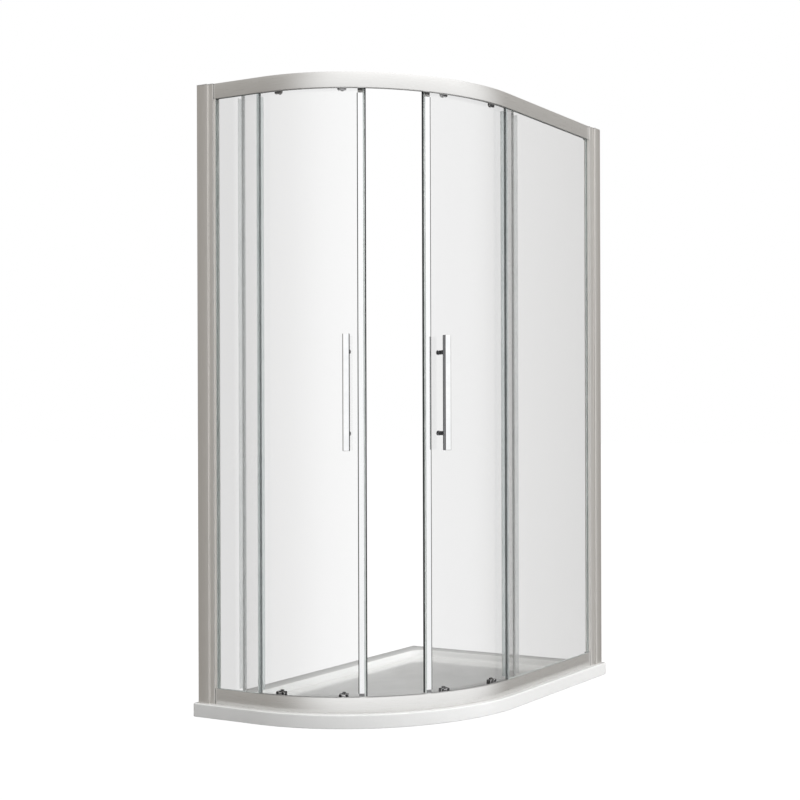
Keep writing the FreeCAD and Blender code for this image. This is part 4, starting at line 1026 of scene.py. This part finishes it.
@dataclass
class SlidingDoor:
    """A curved door: glass, leading profile with magnet strip, trailing seal, handle and its rollers."""

    door: Door
    glass_z: Pair = (76.0, 1866.0)
    glass_start: float = 10.75
    glass_end: float = 1.5
    glass_steps: int = 90
    profile_z: Pair = (92.0, 1835.0)
    profile_web: Pair = (8.5, 10.5)
    profile_tip: float = 23.5
    profile_t: Pair = (26.15, 35.85)
    profile_wall: float = 1.6
    profile_soft: Soft = Soft(0.7, 4, 0.2)
    neck_in: float = 0.5
    cap_low: float = 8.0
    cap_neck: float = 7.0
    cap_top: float = 15.0
    cap_soft: Soft = Soft(0.7, 3, 0.4)
    neck_soft: Soft = Soft(0.5, 3, 0.1)
    bead_back: Pair = (23.45, 25.9)
    bead_t: Pair = (27.25, 34.3)
    bead_wall: float = 0.7
    bead_soft: Soft = Soft(0.2, 2, 0.2)
    magnet: tuple[float, ...] = (0.15, 27.9, 4.0, 34.1)
    magnet_soft: Soft = Soft(0.8, 4, 0.4)
    stem: tuple[float, ...] = (3.9, 27.3, 8.45, 34.7)
    stem_soft: Soft = Soft(0.6, 3, 0.4)
    seal_web: float = 1.35
    seal_reach: float = 11.5
    seal_t: Pair = (26.55, 35.45)
    seal_wall: float = 1.2
    seal_fin_t: Pair = (14.6, 26.7)
    seal_z: tuple[tuple[Pair, Pair], ...] = (
        ((79.0, 1806.4), (87.3, 1806.4)), ((1806.7, 1860.0), (1806.7, 1842.7)))
    seal_soft: Soft = Soft(0.4, 2, 0.2)
    seal_fin_soft: Soft = Soft(0.5, 2, 0.2)
    handle_back: float = 6.15
    handle_z: float = 965.0
    handle_length: float = 337.0
    handle_half: float = 10.0
    handle_t: Pair = (-27.0, -7.0)
    handle_soft: Soft = Soft(5.2, 8, 1.2)
    standoff_reach: float = 119.0
    standoff: tuple[Pair, ...] = (
        (-7.3, 0.01), (-7.3, 6.25), (27.0, 6.25), (27.4, 6.15), (27.75, 5.75), (27.75, 0.01))
    standoff_segments: int = 48
    tread: tuple[Pair, ...] = (
        (16.0, 5.3), (16.0, 10.1), (16.6, 10.7), (20.0, 10.7), (20.6, 10.1), (20.6, 3.05), (17.6, 3.05),
        (17.6, 5.3))
    tread_ease: float = 0.35
    tread_segments: int = 64
    roller_back: tuple[tuple[str, float], ...] = (("lead", 7.9), ("trail", 30.4))
    wheel_z: tuple[tuple[str, float], ...] = (("top", 1868.0), ("bottom", 62.0))

    @property
    def label(self) -> str:
        """Left or right, for names."""
        return self.door.side.value

    def pane(self) -> None:
        """Curved glass: a thin ring section between the two edges, with ground arrises."""
        t0, t1, a = LAYOUT.door_face, LAYOUT.door_face + LAYOUT.glass, LAYOUT.arris
        z0, z1 = self.glass_z
        section = np.array([(t0 + a, z0), (t0, z0 + a), (t0, z1 - a), (t0 + a, z1), (t1 - a, z1), (t1, z1 - a),
                            (t1, z0 + a), (t1 - a, z0)])
        start, end = self.glass_start, self.door.span - self.glass_end
        inner = np.linspace(start + a, end - a, self.glass_steps)
        back = np.concatenate([[start], inner, [end]])
        path = round_bend(self.door.bearing(back / LAYOUT.door_radius))
        squeeze = np.ones(len(back))
        squeeze[[0, -1]] = (LAYOUT.glass - 2 * a) / LAYOUT.glass
        middle = (t0 + t1) / 2
        rings = carried(section, path)
        centre_line = (path.base + path.inward * middle)[:, None]
        rings[..., :2] = centre_line + (rings[..., :2] - centre_line) * squeeze[:, None, None]
        ground = np.array([1, 0, 1, 1, 1, 0, 1, 1])
        self.door.place(Surface().tube(rings, cut=ground), "curved_pane_", DOOR_GLASS[self.door.side],
                        "clear_glass", "door_glass_", GLASS_SHARP)

    def leading_edge(self) -> None:
        """Bright channel on the leading edge with its caps and beads, and the black magnet strip on its stem."""
        trim = self.door.trim
        z0, z1 = self.profile_z
        low, high = z0 - self.cap_low, z1 + self.cap_top
        section = channel(self.profile_web, self.profile_tip, self.profile_t, self.profile_wall)
        trim("leading_channel_", CHROME_STRIP, "polished_chrome", "leading_profile_",
             (section, self.profile_z, self.profile_soft))
        trim("leading_cap_pair_", GREY_PLASTIC, "grey_plastic", "leading_caps_",
             (section, (low, z0), self.cap_soft), (section, (z1 + self.cap_neck, high), self.cap_soft))
        t_range = self.profile_t[0] + self.neck_in, self.profile_t[1] - self.neck_in
        neck = channel(self.profile_web, self.profile_tip, t_range, self.profile_wall - self.neck_in)
        trim("leading_cap_neck_", PALE_CAP, "grey_plastic", "", (neck, (z1, z1 + self.cap_neck), self.neck_soft))
        b0, b1 = self.bead_back
        beads = [(box(b0, t, b1, t + self.bead_wall), self.profile_z, self.bead_soft) for t in self.bead_t]
        trim("leading_bead_pair_", RUBBER, "black_rubber", "", *beads)
        trim("magnet_strip_", BLACK_SEAL, "black_rubber", "magnet_seal_",
             (box(*self.magnet), (low, high), self.magnet_soft))
        trim("magnet_stem_", GASKET, "black_rubber", "", (box(*self.stem), (low, high), self.stem_soft))

    def trailing_edge(self) -> None:
        """Vinyl clip and fin on the trailing edge, in two lengths."""
        end = self.door.span
        web = end - self.seal_web
        clip = channel((end, web), end - self.seal_reach, self.seal_t, self.seal_wall)
        fin = box(web, self.seal_fin_t[0], end, self.seal_fin_t[1])
        lengths = [each for clip_z, fin_z in self.seal_z
                   for each in ((clip, clip_z, self.seal_soft), (fin, fin_z, self.seal_fin_soft))]
        self.door.trim("trailing_edge_seal_", MILKY_SEAL, "clear_seal", "trailing_seal_", *lengths)

    def handle(self) -> None:
        """Square bar with rounded edges and softened ends, on two round standoffs; its sides, ends and standoffs
        carry a painted dark reflection.
        """
        origin, inward, across = self.door.radial_frame(self.handle_back)
        half, reach, soft = self.handle_half, self.handle_length / 2, self.handle_soft
        section = eased(box(-half, self.handle_t[0], half, self.handle_t[1]), soft.ease, soft.steps)
        heights, inset = ends(self.handle_z - reach, self.handle_z + reach, soft.bevel)
        flat = drawn_in(section, inset)
        rings = origin + across * flat[..., :1] + inward * flat[..., 1:]
        rings[..., 2] = heights[:, None]
        middles = (section[:, 0] + np.roll(section[:, 0], -1)) / 2
        # The bar's two sides are masked for the painted dark reflection.
        surface = Surface().tube(rings, cut=np.abs(middles) > half - soft.bevel)
        for z in (self.handle_z - self.standoff_reach, self.handle_z + self.standoff_reach):
            foot = origin + np.array([0.0, 0.0, z])
            rings = turned(np.array(self.standoff), foot, inward, across, self.standoff_segments)
            # Each standoff is masked whole for the painted dark reflection.
            surface.tube(rings, caps=False, closed=True, cut=np.ones(rings.shape[1]))
        self.door.place(surface, "handle_bar_", CHROME_BAR, "polished_chrome", "door_handle_")

    def wheels(self) -> None:
        """Grooveless wheels: a bevelled tread, a running bore and a pocket for the axle's head."""
        profile = eased(np.array(self.tread), self.tread_ease, 2)
        for end, back in self.roller_back:
            origin, inward, across = self.door.radial_frame(back)
            for level, z in self.wheel_z:
                name = f"{level}_wheel_{self.label}_{end}"
                hub = origin + np.array([0.0, 0.0, z])
                rings = turned(profile, hub, inward, across, self.tread_segments)
                surface = Surface().tube(rings, caps=False, closed=True)
                place(surface, "tread_" + name, NYLON, name, "wheel_nylon", name)

    def fittings(self) -> None:
        """Finishes of the small CAD pieces that stay as they are."""
        for finish, nodes in ((CHROME, ("handle_fixings_", "top_hangers_", "carrier_plates_")),
                              (BLACK_PLASTIC, ("hanger_clamps_", "carrier_screws_", "carrier_housings_"))):
            dress(finish, *(node + self.label for node in nodes))
        dress(BLACK_PLASTIC, *(f"release_slide_{self.label}_{end}" for end, _ in self.roller_back))

    def build(self) -> None:
        """Every piece of the door."""
        self.pane()
        self.leading_edge()
        self.trailing_edge()
        self.handle()
        self.wheels()
        self.fittings()


# -------------------------------- studio


@dataclass
class Studio:
    """Pale floor, soft light that is brightest in front and warm and dim at the sides, and the camera."""

    camera_at: Colour = (2510.45, -3838.87, 890.222)
    yaw: float = 0.490282
    roll: float = -0.00305225
    focal_px: float = 1412.58
    middle_px: Pair = (540.0, 417.826)
    picture_px: float = 800.0
    sensor: float = 36.0
    clip: Pair = (0.05, 100.0)
    front_bearing: float = -28.5
    front_edge: Pair = (0.06, 0.66)
    back_bearing: float = 140.0
    back_edge: Pair = (0.6, 0.86)
    side_bearing: float = 15.0
    side_edge: Pair = (0.3, 0.8)
    side_height: Pair = (0.15, 0.5)
    low: Colour = (0.445, 0.428, 0.405)
    high: Colour = (1.13, 1.13, 1.13)
    back: Colour = (0.10, 0.10, 0.105)
    side: Colour = (3.2, 3.2, 3.2)
    below: float = 0.85
    below_height: Pair = (-0.35, 0.25)
    overhead: float = 0.8
    overhead_height: Pair = (0.4, 0.9)
    spread: Colour = (0.8, 0.8, 0.8)
    floor_half: float = 40.0
    floor_z: float = -0.0005
    floor_bounce: float = 0.1
    floor_lift: float = 0.95

    def camera(self) -> None:
        """Camera that stands where the photograph was taken: lens and shift follow from pixel sizes."""
        data = bpy.data.cameras.new("photo_camera")
        data.sensor_width = self.sensor
        data.lens = self.focal_px / self.picture_px * self.sensor
        data.shift_x = (self.picture_px / 2 - self.middle_px[0]) / self.picture_px
        data.shift_y = (self.middle_px[1] - self.picture_px / 2) / self.picture_px
        data.clip_start, data.clip_end = self.clip
        camera = bpy.data.objects.new("photo_camera", data)
        right = Vector((math.cos(self.yaw), math.sin(self.yaw), 0))
        ahead = Vector((-math.sin(self.yaw), math.cos(self.yaw), 0))
        up = Vector((0, 0, 1))
        cr, sr = math.cos(self.roll), math.sin(self.roll)
        turn = Matrix((right * cr + up * sr, up * cr - right * sr, -ahead)).transposed()
        camera.matrix_world = Matrix.Translation(Vector(self.camera_at) * MM) @ turn.to_4x4()
        bpy.context.scene.collection.objects.link(camera)
        bpy.context.scene.camera = camera

    def world(self) -> None:
        """Soft light by direction: a wide bright front, warm dim sides, bright overhead, dark behind.

        Each lobe is the smooth step of the dot product with its direction. Only reflections see the
        dark strip behind the object, and only soft light has the low lobe at the side. What is looked
        at directly or through glass, with no reflection on the way, is plain white.
        """
        made = bpy.data.worlds.new("studio_light")
        bpy.context.scene.world = made
        made.use_nodes = True
        n = Nodes(made.node_tree)
        where = n.add("ShaderNodeTexCoord").outputs["Generated"]
        height = n.add("ShaderNodeSeparateXYZ", {0: where}).outputs[2]
        glossy = n.path("Is Glossy Ray")

        def facing(bearing: float, edge: Pair) -> Socket:
            """Mask of the directions near a bearing.

            Args:
                bearing: Bearing in degrees.
                edge: Cosines between which the mask grows from 0 to 1.

            Returns:
                The mask's socket.
            """
            towards = (*(float(c) for c in spokes(math.radians(bearing))), 0.0)
            dot = n.add("ShaderNodeVectorMath", {0: where, 1: towards}, operation="DOT_PRODUCT")
            return n.ranged(dot.outputs["Value"], edge)

        tone = n.mixed(facing(self.front_bearing, self.front_edge), self.low, self.high)
        grade = n.ranged(height, self.below_height, (self.below, 1.0))
        grey = n.add("ShaderNodeCombineXYZ", dict.fromkeys(range(3), grade)).outputs[0]
        tone = n.mixed(1.0, tone, grey, "MULTIPLY")
        tone = n.mixed(n.ranged(height, self.overhead_height, (0.0, self.overhead)), tone, (1.0, 1.0, 1.0), "ADD")
        soft = n.math("SUBTRACT", 1.0, glossy)
        beside = n.math("MULTIPLY", facing(self.side_bearing, self.side_edge),
                        n.ranged(height, self.side_height, (1.0, 0.0)))
        tone = n.mixed(soft, tone, self.spread, "MULTIPLY")
        tone = n.mixed(n.math("MULTIPLY", beside, soft), tone, self.side, "ADD")
        tone = n.mixed(n.math("MULTIPLY", facing(self.back_bearing, self.back_edge), glossy), tone, self.back)
        light = n.add("ShaderNodeBackground", {"Color": tone, "Strength": 1.0})
        seen = n.add("ShaderNodeBackground", {"Color": (1, 1, 1, 1), "Strength": 1.0})
        plain = n.math("MULTIPLY", n.path("Is Camera Ray", "Is Transmission Ray"),
                       n.math("LESS_THAN", n.path("Glossy Depth"), 0.5))
        n.add("ShaderNodeOutputWorld", {0: n.add("ShaderNodeMixShader", {0: plain, 1: light, 2: seen})})

    def floor(self) -> None:
        """Wide pale floor, white where nothing shades it and left out of reflections."""
        mesh = bpy.data.meshes.new("studio_floor")
        s = self.floor_half
        mesh.from_pydata([(*corner, self.floor_z) for corner in box(-s, -s, s, s).tolist()], [], [(0, 1, 2, 3)])
        floor = bpy.data.objects.new("studio_floor", mesh)
        bpy.context.scene.collection.objects.link(floor)
        made = bpy.data.materials.new("studio_floor_paint")
        made.use_nodes = True
        n = Nodes(made.node_tree)
        paint = n.add("ShaderNodeBsdfDiffuse", {0: (self.floor_bounce,) * 3 + (1,)})
        lift = n.math("MULTIPLY", n.path("Is Camera Ray", "Is Transmission Ray"), self.floor_lift)
        both = n.add("ShaderNodeAddShader", {0: paint, 1: n.add("ShaderNodeEmission", {"Strength": lift})})
        opened = n.add("ShaderNodeBsdfTransparent")
        mix = n.add("ShaderNodeMixShader", {0: n.path("Is Glossy Ray"), 1: both, 2: opened})
        n.add("ShaderNodeOutputMaterial", {0: mix})
        mesh.materials.append(made)

    def build(self) -> None:
        """Floor, light, camera and the plain view transform."""
        bpy.context.scene.view_settings.view_transform = "Standard"
        self.floor()
        self.world()
        self.camera()


def corners(box: tuple[Vector, Vector]) -> list[list[float]]:
    """A box's two corners as plain lists of numbers."""
    return [[float(c) for c in corner] for corner in box]


def main() -> None:
    """Builds every sub-assembly in order."""
    logging.basicConfig(level=logging.INFO, format="%(name)s: %(message)s")
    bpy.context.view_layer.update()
    ShowerTray().build()
    SlidingFrame().build()
    for door in DOORS.values():
        SlidingDoor(door).build()
    Studio().build()


if __name__ == "__main__":
    main()
